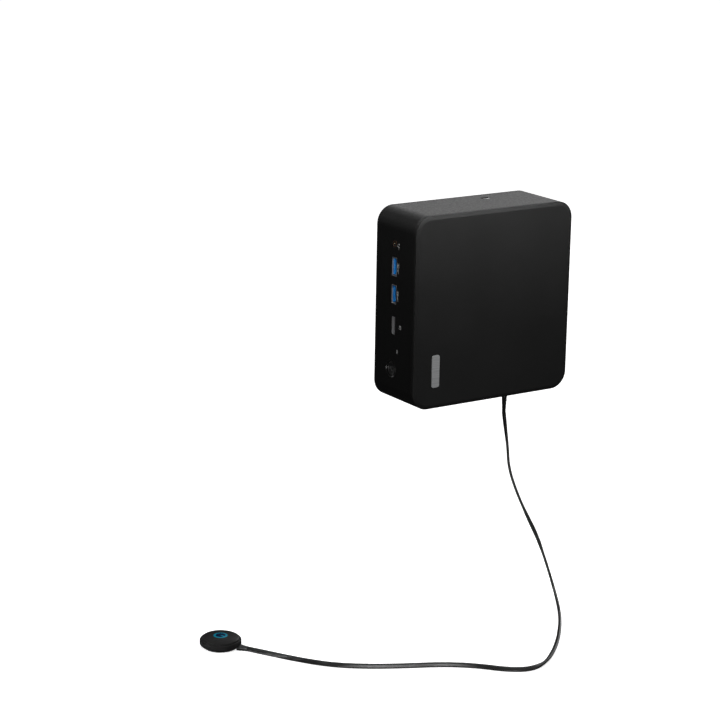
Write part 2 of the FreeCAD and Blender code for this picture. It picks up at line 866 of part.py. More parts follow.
def fan_housing():
    """The blower's casing: closed at the back, open at the outlet, with a round intake in front."""
    body = new_body()
    casing = housing_outline(sketch(body, "XZ_Plane", size.fan_back), 0, size.fan_outlet_x)
    pad(body, casing, size.fan_front - size.fan_back)
    room = sketch(body, "XZ_Plane", size.fan_front - size.fan_wall)
    housing_outline(room, size.fan_wall, size.fan_outlet_x + 2)
    pocket(body, room, size.fan_front - size.fan_back - 2 * size.fan_wall)
    intake = sketch(body, "XZ_Plane", size.fan_front)
    ring_outline(intake, size.fan_intake_radius, size.fan_x, size.fan_z)
    pocket(body, intake, size.fan_wall)
    ears = sketch(body, "XZ_Plane", size.fan_back)
    for x, z in FAN_EARS:
        ring_outline(ears, 3.6, x, z)
    pad(body, ears, EAR_THICKNESS)
    holes = sketch(body, "XZ_Plane", size.fan_back + EAR_THICKNESS)
    for x, z in FAN_EARS:
        ring_outline(holes, 1.1, x, z)
    pocket(body, holes, EAR_THICKNESS)
    stator = sketch(body, "XZ_Plane", size.fan_back)
    ring_outline(stator, 8.0, size.fan_x, size.fan_z)
    pad(body, stator, 4.4)
    shaft = sketch(body, "XZ_Plane", size.fan_back)
    ring_outline(shaft, size.shaft_radius, size.fan_x, size.fan_z)
    pad(body, shaft, 7.4)
    return finished(body, "fan_housing")


BLADE_STEPS = 4


def fan_impeller():
    """The turning wheel: a cup over the motor with a bearing bore, and curved blades."""
    low, high = 2.0, 8.1
    body = new_body(size.fan_x, size.fan_back, size.fan_z, ALONG_DEPTH)
    bore = size.shaft_radius + size.shaft_clearance
    cup = [
        (bore, 4.8),
        (2.6, 4.8),
        (2.6, high - 1.0),
        (size.hub_radius - 1.2, high - 1.0),
        (size.hub_radius - 1.2, low),
        (size.hub_radius, low),
        (size.hub_radius, high),
        (bore, high),
    ]
    revolve(body, outline(sketch(body, "XZ_Plane"), cup))
    blade = sketch(body, "XY_Plane", low)
    root, tip = size.hub_radius.value - 0.4, size.blade_tip_radius.value
    sweep, half = math.radians(24), 0.4
    points = []
    for edge in (half, -half):
        side = []
        for step in range(BLADE_STEPS + 1):
            share = step / BLADE_STEPS
            radius, angle = root + (tip - root) * share, sweep * share ** 1.6
            across = angle + edge / radius
            side.append((radius * math.cos(across), radius * math.sin(across)))
        points += side if edge > 0 else side[::-1]
    outline(blade, points)
    first = pad(body, blade, high - low)
    wheel = body.newObject("PartDesign::PolarPattern", "blades")
    wheel.Originals = [first]
    wheel.Axis = (origin_item(body, "Z_Axis"), [""])
    wheel.Angle = 360
    bind(wheel, "Occurrences", size.blade_count)
    body.Tip = wheel
    doc.recompute()
    return finished(body, "fan_impeller")


def cooler_screws():
    """Seven small screws: four that press the copper plate down, and three through the fan's ears."""
    pieces = []
    for side, level in CORNERS:
        x, z = size.fan_x + side * 22, size.fan_z + level * 17
        shank = rod_depth(x, z, (BOARD_FRONT, PIPE_BACK), 1.0)
        pieces.append(join([shank, rod_depth(x, z, (PIPE_BACK, PIPE_BACK + 1.2), 2.0)]))
    top = size.fan_back + EAR_THICKNESS
    for x, z in FAN_EARS:
        head = rod_depth(x, z, (top, top + 1.2), 2.0)
        pieces.append(join([head, rod_depth(x, z, (size.fan_back - 4, top), 1.0)]))
    return finished(group(pieces), "cooler_screws")


# ---------------------------------------------------------------- memory, drives and small boards

MEMORY_X = -3.0
MEMORY_TOP = 53.5
MEMORY_LENGTH = 67.6
MEMORY_WIDTH = 30.0
MEMORY_DEPTHS = (28.3, 23.6)


def memory_sockets():
    """Two stacked sockets for memory modules, with their side arms."""
    back = size.board_back
    spine = block(around(MEMORY_X, 73), (back - 11.0, back), (MEMORY_TOP - 4, MEMORY_TOP + 3))
    arms = []
    for side in (1, -1):
        x = MEMORY_X + side * (MEMORY_LENGTH / 2 + 1.7)
        for reach in (back - 5.4, back - 10.1):
            arms.append(block(around(x, 1.6), (reach, reach + 1.8), (26, MEMORY_TOP)))
        arms.append(block(around(x, 1.6), (back - 5.4, back), (MEMORY_TOP - 8, MEMORY_TOP)))
    slots = []
    for depth in MEMORY_DEPTHS:
        slots.append(
            block(around(MEMORY_X, MEMORY_LENGTH + 0.4), around(depth, 1.4), (40, MEMORY_TOP + 0.1))
        )
    return finished(remove(join([spine] + arms), slots), "memory_sockets")


def memory_modules():
    """The two memory modules' boards."""
    cards = []
    low = MEMORY_TOP - MEMORY_WIDTH
    for depth in MEMORY_DEPTHS:
        card = block(around(MEMORY_X, MEMORY_LENGTH), around(depth, 1.2), (low, MEMORY_TOP))
        notch = rod_depth(MEMORY_X + MEMORY_LENGTH / 2, low + 8, (0, size.case_front), 1.2)
        cards.append(remove(card, [notch]))
    return finished(group(cards), "memory_modules")


def memory_chips():
    """Eight memory chips, four on each module."""
    pieces = []
    for depth in MEMORY_DEPTHS:
        for number in range(4):
            x = MEMORY_X + (number - 1.5) * 16
            pieces.append(block(around(x, 9.5), (depth - 1.6, depth - 0.6), (28, 41)))
    return finished(group(pieces), "memory_chips")


SSD_Z = 7.0
SSD_START = -44.0
CARD_DEPTH = 29.8


def ssd():
    """The solid-state drive's card, with its chips soldered on."""
    card = block((SSD_START, SSD_START + 80), around(CARD_DEPTH, 0.8), around(SSD_Z, 22))
    notch = rod_depth(SSD_START, SSD_Z, (0, size.case_front), 1.6)
    chips = []
    for start, length in ((8, 14), (25, 11), (42, 15), (60, 13)):
        x = (SSD_START + start, SSD_START + start + length)
        chips.append(block(x, (CARD_DEPTH - 1.7, CARD_DEPTH - 0.4), around(SSD_Z, 16)))
    return finished(remove(join([card] + chips), [notch]), "ssd")


WIRELESS_START = -38.0
WIRELESS_Z = -19.0


def wireless_card():
    """The wireless card, with its metal can and two aerial sockets."""
    card = block((WIRELESS_START, WIRELESS_START + 30), around(CARD_DEPTH, 0.8), around(WIRELESS_Z, 22))
    can = block(
        (WIRELESS_START + 6, WIRELESS_START + 24),
        (CARD_DEPTH - 1.9, CARD_DEPTH - 0.4),
        around(WIRELESS_Z, 18),
    )
    notch = rod_depth(WIRELESS_START, WIRELESS_Z, (0, size.case_front), 1.6)
    return finished(remove(join([card, can]), [notch]), "wireless_card")


def card_sockets():
    """The edge sockets that the drive's card and the wireless card plug into."""
    pieces = []
    for start, z in ((SSD_START + 80, SSD_Z), (WIRELESS_START + 30, WIRELESS_Z)):
        shell = block((start - 4, start + 4), (CARD_DEPTH - 1.6, size.board_back), around(z, 23))
        slot = block((start - 5, start + 0.1), around(CARD_DEPTH, 1.0), around(z, 22.3))
        pieces.append(remove(shell, [slot]))
    return finished(group(pieces), "card_sockets")


def board_posts():
    """Five round posts on the board: two behind it for the cards, three in front for the fan."""
    pieces = []
    for start, z in ((SSD_START, SSD_Z), (WIRELESS_START, WIRELESS_Z)):
        post = rod_depth(start, z, (CARD_DEPTH + 0.4, size.board_back), 2.6)
        pieces.append(remove(post, [rod_depth(start, z, (CARD_DEPTH, CARD_DEPTH + 2.6), 1.05)]))
    for x, z in FAN_EARS:
        post = rod_depth(x, z, (BOARD_FRONT, size.fan_back), 2.4)
        pieces.append(remove(post, [rod_depth(x, z, (size.fan_back - 5, size.fan_back + 1), 1.05)]))
    return finished(group(pieces), "board_posts")


def card_screws():
    """One small screw for each card."""
    pieces = []
    for start, z in ((SSD_START, SSD_Z), (WIRELESS_START, WIRELESS_Z)):
        head = rod_depth(start, z, (CARD_DEPTH - 1.4, CARD_DEPTH - 0.4), 2.4)
        shank = rod_depth(start, z, (CARD_DEPTH - 0.4, CARD_DEPTH + 2.4), 1.0)
        pieces.append(join([head, shank]))
    return finished(group(pieces), "card_screws")


BATTERY_X, BATTERY_Z = 22.0, -24.0


def clock_battery():
    """The coin cell that keeps the clock."""
    return finished(rod_depth(BATTERY_X, BATTERY_Z, (28.4, 31.6), 10.0), "clock_battery")


def battery_holder():
    """The open round holder of the coin cell."""
    cup = rod_depth(BATTERY_X, BATTERY_Z, (29.6, size.board_back), 11.4)
    well = rod_depth(BATTERY_X, BATTERY_Z, (28, 31.6), 10.1)
    gap = block(around(BATTERY_X, 8), (28, 31.6), (BATTERY_Z - 13, BATTERY_Z))
    return finished(remove(cup, [well, gap]), "battery_holder")


def power_coils():
    """Six coils of the processor's supply, in a row on the front of the board."""
    pieces = []
    for number in range(6):
        z = -40 + number * 8.0
        pieces.append(block(around(-34, 6.6), (BOARD_FRONT, BOARD_FRONT + 3.0), around(z, 6.6)))
    return finished(group(pieces), "power_coils")


def drive_tray():
    """A folded tray on the base panel for a second drive."""
    low = BASE_INNER + 0.2
    shell = block(around(-3, 74), (low, low + 10), around(0, 88))
    room = block(around(-3, 72), (low + 1, low + 20), around(0, 200))
    windows = [
        block(around(-3, 48), (0, low + 5), around(z, 24)) for z in (-20, 20)
    ]
    studs = [
        rod_depth(0, level * size.stud_spacing / 2, (0, low + 5), 4.6) for level in (1, -1)
    ]
    return finished(remove(shell, [room] + windows + studs), "drive_tray")


def aerials():
    """Two thin aerial strips on the inside of the frame's top wall."""
    top = CASE_TOP - size.wall
    pieces = [block(around(x, 30), (38, 46), (top - 0.8, top)) for x in (-26, 30)]
    return finished(group(pieces), "aerials")


# ---------------------------------------------------------------- ports on the left

LEFT = -CASE_SIDE


def audio_jack():
    """The headset jack: a block on the board with a round nose in the wall."""
    z, depth = size.audio_height, size.port_depth
    base = block((LEFT + 2.2, LEFT + 14), (depth - 3, size.board_back), around(z, 6.4))
    nose = rod_x((LEFT + 0.2, LEFT + 3), depth, z, 3.1)
    bore = rod_x((LEFT - 1, LEFT + 12), depth, z, 1.8)
    return finished(remove(join([base, nose]), [bore]), "audio_jack")


def audio_jack_ring():
    """The thin copper-coloured contact ring in the jack's mouth."""
    ring = rod_x((LEFT - 0.05, LEFT + 0.2), size.port_depth, size.audio_height, 2.15)
    bore = rod_x((LEFT - 1, LEFT + 1), size.port_depth, size.audio_height, 1.8)
    return finished(remove(ring, [bore]), "audio_jack_ring")


def usb_shell(face, inward, depth, z):
    """A full-size USB shell, open at its face."""
    outer = block(span(face, face + inward * 14), around(depth, 5.7), around(z, 13.1))
    inner = block(span(face - inward, face + inward * 13.2), around(depth, 5.1), around(z, 12.5))
    return remove(outer, [inner])


def usb_tongue(face, inward, depth, z):
    """The tongue inside a full-size USB port."""
    return block(span(face + inward * 0.8, face + inward * 13.2), (depth - 2.2, depth), around(z, 11.1))


def span(first, second):
    """Two values of X in rising order."""
    first, second = as_size(first), as_size(second)
    return (first, second) if first.value < second.value else (second, first)


def usb_front_shells():
    """The two USB shells on the left side."""
    heights = (size.usb_upper_height, size.usb_lower_height)
    pieces = [usb_shell(LEFT + 0.1, 1, size.port_depth, height) for height in heights]
    return finished(group(pieces), "usb_front_shells")


def usb_front_tongues():
    """The coloured tongues of the two USB ports on the left side."""
    heights = (size.usb_upper_height, size.usb_lower_height)
    pieces = [usb_tongue(LEFT + 0.1, 1, size.port_depth, height) for height in heights]
    return finished(group(pieces), "usb_front_tongues")


def card_reader():
    """The memory-card slot: a metal shell on a raised foot, open at its face."""
    z, depth = size.card_height, size.port_depth
    shell = block((LEFT + 0.3, LEFT + 15), around(depth, 4.0), around(z, 12.4))
    foot = block((LEFT + 3, LEFT + 15), (depth + 2.0, size.board_back), around(z, 12.4))
    slot = block((LEFT - 1, LEFT + 14), (depth + 0.9, depth + 1.6), around(z, 11.2))
    return finished(remove(join([shell, foot]), [slot]), "card_reader")


def status_light_pipe():
    """The clear pill that carries the status light through the wall."""
    body = new_body()
    pill = sketch(body, "YZ_Plane", LEFT + 0.05)
    rounded_outline(pill, 1.2, 2.8, 0.55, -size.light_depth, size.light_height)
    pad(body, pill, 6)
    return finished(body, "status_light_pipe")


def power_button():
    """The round power button: a dished cap, a flange behind the wall and a stem."""
    body = new_body(LEFT, size.button_depth, size.button_height, ALONG_X)
    radius = size.button_radius
    profile = [
        (0, 1.7),
        (1.6, 1.55),
        (3.0, 1.15),
        (radius - 0.5, 0.6),
        (radius, 0.85),
        (radius, 2.3),
        (radius + 0.9, 2.3),
        (radius + 0.9, 3.3),
        (1.5, 3.3),
        (1.5, 5.2),
        (0, 5.2),
    ]
    revolve(body, outline(sketch(body, "XZ_Plane"), profile))
    return finished(body, "power_button")


def power_button_bezel():
    """The sloping ring round the power button, set in the wall's dish."""
    body = new_body(LEFT, size.button_depth, size.button_height, ALONG_X)
    inner, outer = size.button_radius + 0.15, size.button_bezel_radius - 0.05
    profile = [(inner, 0.6), (outer, 0.05), (outer, 1.0), (inner, 1.0)]
    revolve(body, outline(sketch(body, "XZ_Plane"), profile))
    return finished(body, "power_button_bezel")


def power_switch():
    """The small switch behind the power button."""
    depth, z = size.button_depth, size.button_height
    base = block((LEFT + 7.0, LEFT + 10.5), (depth - 3, size.board_back), around(z, 6))
    bore = rod_x((LEFT + 6, LEFT + 9), depth, z, 1.9)
    return finished(remove(base, [bore]), "power_switch")


def power_switch_plunger():
    """The switch's own plunger, which the button's stem pushes."""
    plunger = rod_x((LEFT + 5.2, LEFT + 8.2), size.button_depth, size.button_height, 1.7)
    return finished(plunger, "power_switch_plunger")


# ---------------------------------------------------------------- ports on the right

RIGHT = CASE_SIDE
VIDEO_DEPTHS = (28.8, 20.8)
USB_REAR_DEPTHS = (29.6, 21.6)
NETWORK_DEPTH = 26.2


REAR_VENT_PITCH = 3.4
REAR_VENT_COUNT = 27


def rear_io_plate():
    """The port plate in the right-hand window, cut round each port, with vents above them."""
    body = new_body()
    outer_face = RIGHT - 0.2
    middle = (size.rear_window_low + size.rear_window_high) / 2
    tall = size.rear_window_high - size.rear_window_low - 2 * size.fit_gap
    profile = sketch(body, "YZ_Plane", outer_face - size.rear_plate_thickness)
    rounded_outline(profile, tall, size.rear_window_height - 2 * size.fit_gap, 2.8, -middle, 0)
    pad(body, profile, size.rear_plate_thickness)
    holes = sketch(body, "YZ_Plane", outer_face)
    ring_outline(holes, 3.5, -28.0, size.power_inlet_height)
    for depth in VIDEO_DEPTHS:
        rounded_outline(holes, 5.2, 14.8, 0.5, -depth, size.video_height)
        rounded_outline(holes, 3.7, 9.4, 1.6, -depth, size.type_c_height)
    for height in (size.network_lower_height, size.network_upper_height):
        rounded_outline(holes, 13.8, 16.3, 0.4, -NETWORK_DEPTH, height)
    for depth in USB_REAR_DEPTHS:
        rounded_outline(holes, 6.3, 13.7, 0.5, -depth, size.usb_rear_height)
    pocket(body, holes, size.rear_plate_thickness)
    vent = sketch(body, "YZ_Plane", outer_face)
    rounded_outline(vent, 7.5, 1.8, 0.85, -42.0, -REAR_VENT_PITCH * (REAR_VENT_COUNT - 1) / 2)
    first = pocket(body, vent, size.rear_plate_thickness)
    repeat(body, first, "Z_Axis", REAR_VENT_PITCH, REAR_VENT_COUNT)
    return finished(body, "rear_io_plate")


def power_inlet():
    """The round power inlet: a block with a socket and a centre pin."""
    z, depth = size.power_inlet_height, 28.0
    base = block((RIGHT - 14, RIGHT - 2), (depth - 5, size.board_back), around(z, 9))
    nose = rod_x((RIGHT - 3, RIGHT - 0.1), depth, z, 3.3)
    bore = rod_x((RIGHT - 11, RIGHT + 1), depth, z, 2.8)
    pin_rod = rod_x((RIGHT - 12, RIGHT - 2), depth, z, 1.1)
    return finished(join([remove(join([base, nose]), [bore]), pin_rod]), "power_inlet")


def video_ports():
    """Two stacked video ports, each a shell with a tongue, on one base."""
    pieces, z = [], size.video_height
    for depth in VIDEO_DEPTHS:
        shell = block((RIGHT - 12, RIGHT - 0.1), around(depth, 4.6), around(z, 14.2))
        room = block((RIGHT - 10, RIGHT + 1), around(depth, 4.0), around(z, 13.6))
        tongue = block((RIGHT - 10.5, RIGHT - 1.5), around(depth, 1.0), around(z, 11.0))
        pieces += [remove(shell, [room]), tongue]
    base = block((RIGHT - 12, RIGHT - 10.2), (VIDEO_DEPTHS[-1], size.board_back), around(z, 14.2))
    return finished(join(pieces + [base]), "video_ports")


def type_c_ports():
    """Two small oval ports, each a rounded shell with a thin tongue."""
    pieces = []
    for depth in VIDEO_DEPTHS:
        shell = new_body()
        outer = sketch(shell, "YZ_Plane", RIGHT - 12)
        rounded_outline(outer, 3.2, 8.9, 1.5, -depth, size.type_c_height)
        pad(shell, outer, 11.9)
        inner = sketch(shell, "YZ_Plane", RIGHT - 0.1)
        rounded_outline(inner, 2.6, 8.3, 1.25, -depth, size.type_c_height)
        pocket(shell, inner, 10)
        tongue = (RIGHT - 10.5, RIGHT - 1.5)
        pieces += [shell, block(tongue, around(depth, 0.7), around(size.type_c_height, 6.6))]
    deep = (VIDEO_DEPTHS[-1], size.board_back)
    pieces.append(block((RIGHT - 12, RIGHT - 10.3), deep, around(size.type_c_height, 8.0)))
    return finished(join(pieces), "type_c_ports")


def network_ports():
    """Two network sockets, each with a deep opening and a notch for the plug's latch."""
    pieces = []
    for z in (size.network_lower_height, size.network_upper_height):
        shell = block((RIGHT - 21, RIGHT - 0.1), around(NETWORK_DEPTH, 13.5), around(z, 16))
        room = block((RIGHT - 14, RIGHT + 1), around(NETWORK_DEPTH - 0.8, 8.2), around(z, 11.8))
        notch = block((RIGHT - 14, RIGHT + 1), around(NETWORK_DEPTH + 4.0, 1.8), around(z, 5.0))
        pieces.append(remove(shell, [room, notch]))
    return finished(group(pieces), "network_ports")


def usb_rear_shells():
    """Two stacked USB shells on the right side."""
    pieces = [
        usb_shell(RIGHT - 0.1, -1, depth, size.usb_rear_height) for depth in USB_REAR_DEPTHS
    ]
    return finished(group(pieces), "usb_rear_shells")


def usb_rear_tongues():
    """The tongues of the two rear USB ports."""
    pieces = [
        usb_tongue(RIGHT - 0.1, -1, depth, size.usb_rear_height) for depth in USB_REAR_DEPTHS
    ]
    return finished(group(pieces), "usb_rear_tongues")


# ---------------------------------------------------------------- button puck and its cable


def link_socket():
    """The small socket for the puck's cable, in the wall underneath."""
    x, depth = size.link_x, size.link_depth
    bottom = -CASE_TOP
    shell = block(around(x, 3.4), around(depth, 9.1), (bottom + 0.2, bottom + 8.5))
    room = block(around(x, 2.8), around(depth, 8.5), (bottom - 1, bottom + 7.8))
    return finished(remove(shell, [room]), "link_socket")


def link_plug():
    """The cable's plug: a metal nose in the socket and a moulded grip below it."""
    x, depth = size.link_x, size.link_depth
    bottom = -CASE_TOP
    nose = block(around(x, 2.5), around(depth, 8.2), (bottom - 0.4, bottom + 7.5))
    grip = block(around(x, 4.4), around(depth, 10.0), (bottom - 6.4, bottom - 0.4))
    return finished(join([nose, grip]), "link_plug")


def tapered_sleeve(body, low_section, high_section, low, high):
    """A sleeve lofted between two round-cornered sections, the higher one first."""
    sections = []
    for (width, height, radius), level in ((high_section, high), (low_section, low)):
        profile = sketch(body, "XY_Plane", level)
        rounded_outline(profile, width, height, radius)
        sections.append(profile)
    blend(body, sections)


def link_strain_relief():
    """The tapered sleeve between the plug's grip and the cable."""
    body = new_body(size.link_x, size.link_depth, 0)
    wide, narrow = (3.8, 4.6, 1.7), (3.6, 3.6, 1.75)
    tapered_sleeve(body, narrow, wide, ROUTE[0][2], -CASE_TOP - 6.4)
    return finished(body, "link_strain_relief")


# The cable's route from its plug to the puck, as the corners of a run of straight lines. It hangs from
# the plug, meets the table at its eleventh point, swings round in front and ends at the puck's sleeve.
TABLE = DRIVING_SIZES["table_level"] + DRIVING_SIZES["cable_width"] / 2
SLEEVE_HEIGHT = 3.6
ROUTE = [
    (31.5, -29.0, -88.0),
    (32.5, -30.0, -99.0),
    (33.3, -32.8, -114.0),
    (32.4, -35.8, -128.0),
    (36.6, -39.8, -145.0),
    (43.1, -44.8, -163.0),
    (49.5, -50.5, -179.5),
    (52.3, -56.9, -195.0),
    (53.2, -64.6, -209.5),
    (49.8, -76.5, -221.0),
    (41.7, -90.5, TABLE),
    (29.1, -106.4, TABLE),
    (13.9, -124.1, TABLE),
    (-3.2, -140.9, TABLE),
    (-20.0, -154.2, TABLE),
    (-36.0, -158.6, TABLE),
    (-50.2, -150.7, TABLE),
    (-64.0, -134.5, TABLE),
    (-82.3, -121.0, TABLE),
    (-106.0, -110.1, TABLE),
    (-127.5, -98.6, TABLE),
    (-147.6, -83.5, TABLE),
    (-162.2, -63.6, TABLE),
    (-173.4, -44.4, TABLE),
    (-181.6, -30.3, TABLE),
]


def smooth_path(points):
    """Straight runs joined by the largest tangent arcs that the runs allow, and the arcs' radii."""
    points = [Vector(*point) for point in points]
    edges, radii, start = [], [], points[0]
    for before, corner, after in zip(points, points[1:], points[2:]):
        back, ahead = (before - corner), (after - corner)
        reach = 0.45 * min(back.Length, ahead.Length)
        back.normalize()
        ahead.normalize()
        half_turn = (math.pi - back.getAngle(ahead)) / 2
        radii.append(reach / math.tan(half_turn))
        first, last = corner + back * reach, corner + ahead * reach
        inward = (back + ahead).normalize()
        middle = corner + inward * radii[-1] * (1 / math.cos(half_turn) - 1)
        edges.append(Part.LineSegment(start, first).toShape())
        edges.append(Part.Arc(first, middle, last).toShape())
        start = last
    edges.append(Part.LineSegment(start, points[-1]).toShape())
    return Part.Wire(edges), radii


def link_cord():
    """The cable as a plain tube as wide as the flat cable, along its whole route."""
    path, radii = smooth_path(ROUTE)
    radius = sheet.get("cable_width") / 2
    direction = Vector(*ROUTE[1]) - Vector(*ROUTE[0])
    section = Part.Wire(Part.Circle(Vector(*ROUTE[0]), direction, radius).toShape())
    tube = path.makePipeShell([section], True, False)
    expected = math.pi * radius**2 * path.Length
    print(f"cable: length {path.Length:.1f}, smallest arc {min(radii):.1f}")
    print(f"cable: volume {tube.Volume:.1f}, section times length {expected:.1f}")
    print("cable: arcs", [round(value) for value in radii])
    if abs(tube.Volume / expected - 1) > 0.02:
        raise RuntimeError("the cable's tube has the wrong volume")
    item = doc.addObject("Part::Feature", "cable")
    item.Shape = tube
    item.Placement = Placement()
    return finished(item, "link_cord")


def puck_turned(points, label):
    """A round piece of the puck, from its outline in radius and height above the table."""
    body = turned(points, size.puck_x, -size.puck_y, size.table_level)
    return finished(body, label)


def puck_pad():
    """The rubber pad that the puck stands on."""
    return puck_turned([(0, 0), (10.6, 0), (10.6, 0.8), (0, 0.8)], "puck_pad")


def puck_base():
    """The puck's lower shell: a sloping underside, a low wall and a step that carries the board."""
    radius = size.puck_radius
    points = [
        (0, 0.8),
        (10.7, 0.8),
        (10.7, 0.35),
        (11.6, 0.35),
        (radius - 0.6, 2.1),
        (radius, 2.9),
        (radius, 5.5),
        (radius - 0.3, 6.1),
        (radius - 1.0, 6.3),
        (radius - 1.0, 2.8),
        (12.1, 1.8),
        (11.5, 1.8),
        (11.5, 2.4),
        (9.5, 2.4),
        (9.5, 1.8),
        (0, 1.8),
    ]
    return puck_turned(points, "puck_base")


def puck_board():
    """The puck's round circuit board."""
    return puck_turned([(0, 2.4), (11.5, 2.4), (11.5, 3.2), (0, 3.2)], "puck_board")


def puck_switch():
    """The low dome switch under the puck's cap, which the cap's post reaches at the end of its travel."""
    body = turned([(0, 3.2), (2.9, 3.2), (2.9, 3.8), (0, 3.8)], size.puck_x, -size.puck_y, size.table_level)
    return finished(body, "puck_switch")


def puck_button():
    """The puck's domed cap, which presses down onto the switch."""
    radius, top = size.puck_radius - 1.2, size.puck_height
    body = new_body(size.puck_x, -size.puck_y, size.table_level)
    points = [
        (0, top),
        (3.4, top - 0.05),
        (3.4, top - 0.9),
        (4.9, top - 0.9),
        (4.9, top - 0.14),
        (8.0, top - 0.32),
        (10.6, top - 0.65),
        (12.2, top - 1.05),
        (12.9, top - 1.45),
        (radius, top - 2.0),
        (radius, top - 4.6),
        (radius - 1.0, top - 4.6),
        (radius - 1.0, top - 2.5),
        (10.0, top - 2.3),
        (1.6, top - 2.3),
        (1.6, top - 4.15),
        (0, top - 4.15),
    ]
    revolve(body, outline(sketch(body, "XZ_Plane"), points))
    return finished(body, "puck_button")


def puck_light_ring():
    """The clear ring set in the puck's cap."""
    top = size.puck_height
    points = [(3.45, top - 0.9), (4.85, top - 0.9), (4.85, top - 0.14), (3.45, top - 0.02)]
    return puck_turned(points, "puck_light_ring")


def puck_sleeve():
    """The tapered sleeve where the cable enters the puck."""
    end = Vector(*ROUTE[-1])
    centre = Vector(DRIVING_SIZES["puck_x"], DRIVING_SIZES["puck_y"], TABLE)
    outward = (end - centre).normalize()
    start = centre + outward * (DRIVING_SIZES["puck_radius"] - 0.6)
    lift = Vector(0, 0, 0.15)
    sections = []
    for spot, width in ((start, 6.4), (end, 3.9)):
        across = Vector(-outward.y, outward.x, 0) * (width / 2)
        up = Vector(0, 0, SLEEVE_HEIGHT / 2)
        corners = [spot + lift + step for step in (across + up, up - across, -across - up, across - up)]
        sections.append(Part.makePolygon(corners + corners[:1]))
    item = doc.addObject("Part::Feature", "sleeve")
    loft = Part.makeLoft(sections, True, True)
    item.Shape = loft.makeFillet(1.0, [edge for edge in loft.Edges if edge.Length > 4.5])
    return finished(item, "puck_sleeve")


# ---------------------------------------------------------------- the whole object


SUB_PARTS = [
    top_cover,
    side_frame,
    base_cover,
    cover_badge,
    rubber_feet,
    base_screws,
    lock_plate,
    vesa_plate,
    plate_studs,
    motherboard,
    board_standoffs,
    board_posts,
    processor,
    cold_plate,
    cooler_screws,
    heat_pipe,
    fin_stack,
    fan_housing,
    fan_impeller,
    memory_sockets,
    memory_modules,
    memory_chips,
    ssd,
    wireless_card,
    card_sockets,
    card_screws,
    clock_battery,
    battery_holder,
    power_coils,
    drive_tray,
    aerials,
    audio_jack,
    audio_jack_ring,
    usb_front_shells,
    usb_front_tongues,
    card_reader,
    status_light_pipe,
    power_button,
    power_button_bezel,
    power_switch,
    power_switch_plunger,
    rear_io_plate,
    power_inlet,
    video_ports,
    type_c_ports,
    network_ports,
    usb_rear_shells,
    usb_rear_tongues,
    link_socket,
    link_plug,
    link_strain_relief,
    link_cord,
    puck_pad,
    puck_base,
    puck_board,
    puck_switch,
    puck_button,
    puck_light_ring,
    puck_sleeve,
]


def write_parts():
    """Checks every object of the document and writes each sub-part."""
    doc.recompute()
    failed = [item.Label for item in doc.Objects if {"Invalid", "Error"} & set(item.State)]
    for item in nodes:
        if item.Shape.isNull() or not item.Shape.isValid() or item.Shape.Volume <= 0:
            failed.append(item.Label)
    if failed:
        raise RuntimeError(f"these failed: {sorted(set(failed))}")
    os.makedirs("parts", exist_ok=True)
    for item in nodes:
        item.Shape.exportStep(os.path.join("parts", f"{item.Label}.step"))
    print(f"{len(nodes)} sub-parts written")


for make in SUB_PARTS:
    make()
write_parts()
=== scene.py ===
"""The finished looks of a mini PC on its wall plate, with its push-button puck on a thin flat cable.

Everything is in metres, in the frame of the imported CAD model: +Z is up and +Y goes into the wall. The ports
face -X, the cover faces -Y, and the puck lies on the floor at the end of its cable.
"""

import math

import bmesh
import bpy
from mathutils import Matrix, Vector
from mathutils.bvhtree import BVHTree


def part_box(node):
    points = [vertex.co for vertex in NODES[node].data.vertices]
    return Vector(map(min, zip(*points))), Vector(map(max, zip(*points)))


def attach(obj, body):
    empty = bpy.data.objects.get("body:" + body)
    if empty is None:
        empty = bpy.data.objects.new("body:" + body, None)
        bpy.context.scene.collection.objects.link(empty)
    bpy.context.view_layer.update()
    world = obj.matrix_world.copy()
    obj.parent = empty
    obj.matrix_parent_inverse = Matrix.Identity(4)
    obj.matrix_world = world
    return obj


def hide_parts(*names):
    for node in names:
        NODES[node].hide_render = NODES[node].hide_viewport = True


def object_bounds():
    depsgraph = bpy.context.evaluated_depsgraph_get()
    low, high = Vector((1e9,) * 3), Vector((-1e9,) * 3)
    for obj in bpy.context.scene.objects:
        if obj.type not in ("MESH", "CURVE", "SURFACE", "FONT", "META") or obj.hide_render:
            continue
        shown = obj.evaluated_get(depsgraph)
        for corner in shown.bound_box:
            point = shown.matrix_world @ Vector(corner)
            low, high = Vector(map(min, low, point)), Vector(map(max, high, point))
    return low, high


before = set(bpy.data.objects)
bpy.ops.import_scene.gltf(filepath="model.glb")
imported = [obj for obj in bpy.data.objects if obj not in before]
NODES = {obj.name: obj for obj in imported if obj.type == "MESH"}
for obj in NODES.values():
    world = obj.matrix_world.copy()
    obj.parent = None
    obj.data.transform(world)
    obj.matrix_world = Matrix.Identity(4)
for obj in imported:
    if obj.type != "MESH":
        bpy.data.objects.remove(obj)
CAD_LOW, CAD_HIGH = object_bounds()
MM = 0.001
FLOOR = CAD_LOW.z
SCENE = bpy.context.scene

# ---------------------------------------------------------------- camera, floor and light

HEADING = math.radians(33.31)
PITCH = math.radians(14.95)
ROLL = math.radians(1.01)
CAMERA_PLACE = Vector((-0.92844, -1.3003, 0.37294))
# In millimetres, as Blender's cameras have them.
SENSOR_WIDTH = 36.0
FOCAL_LENGTH = 115.0

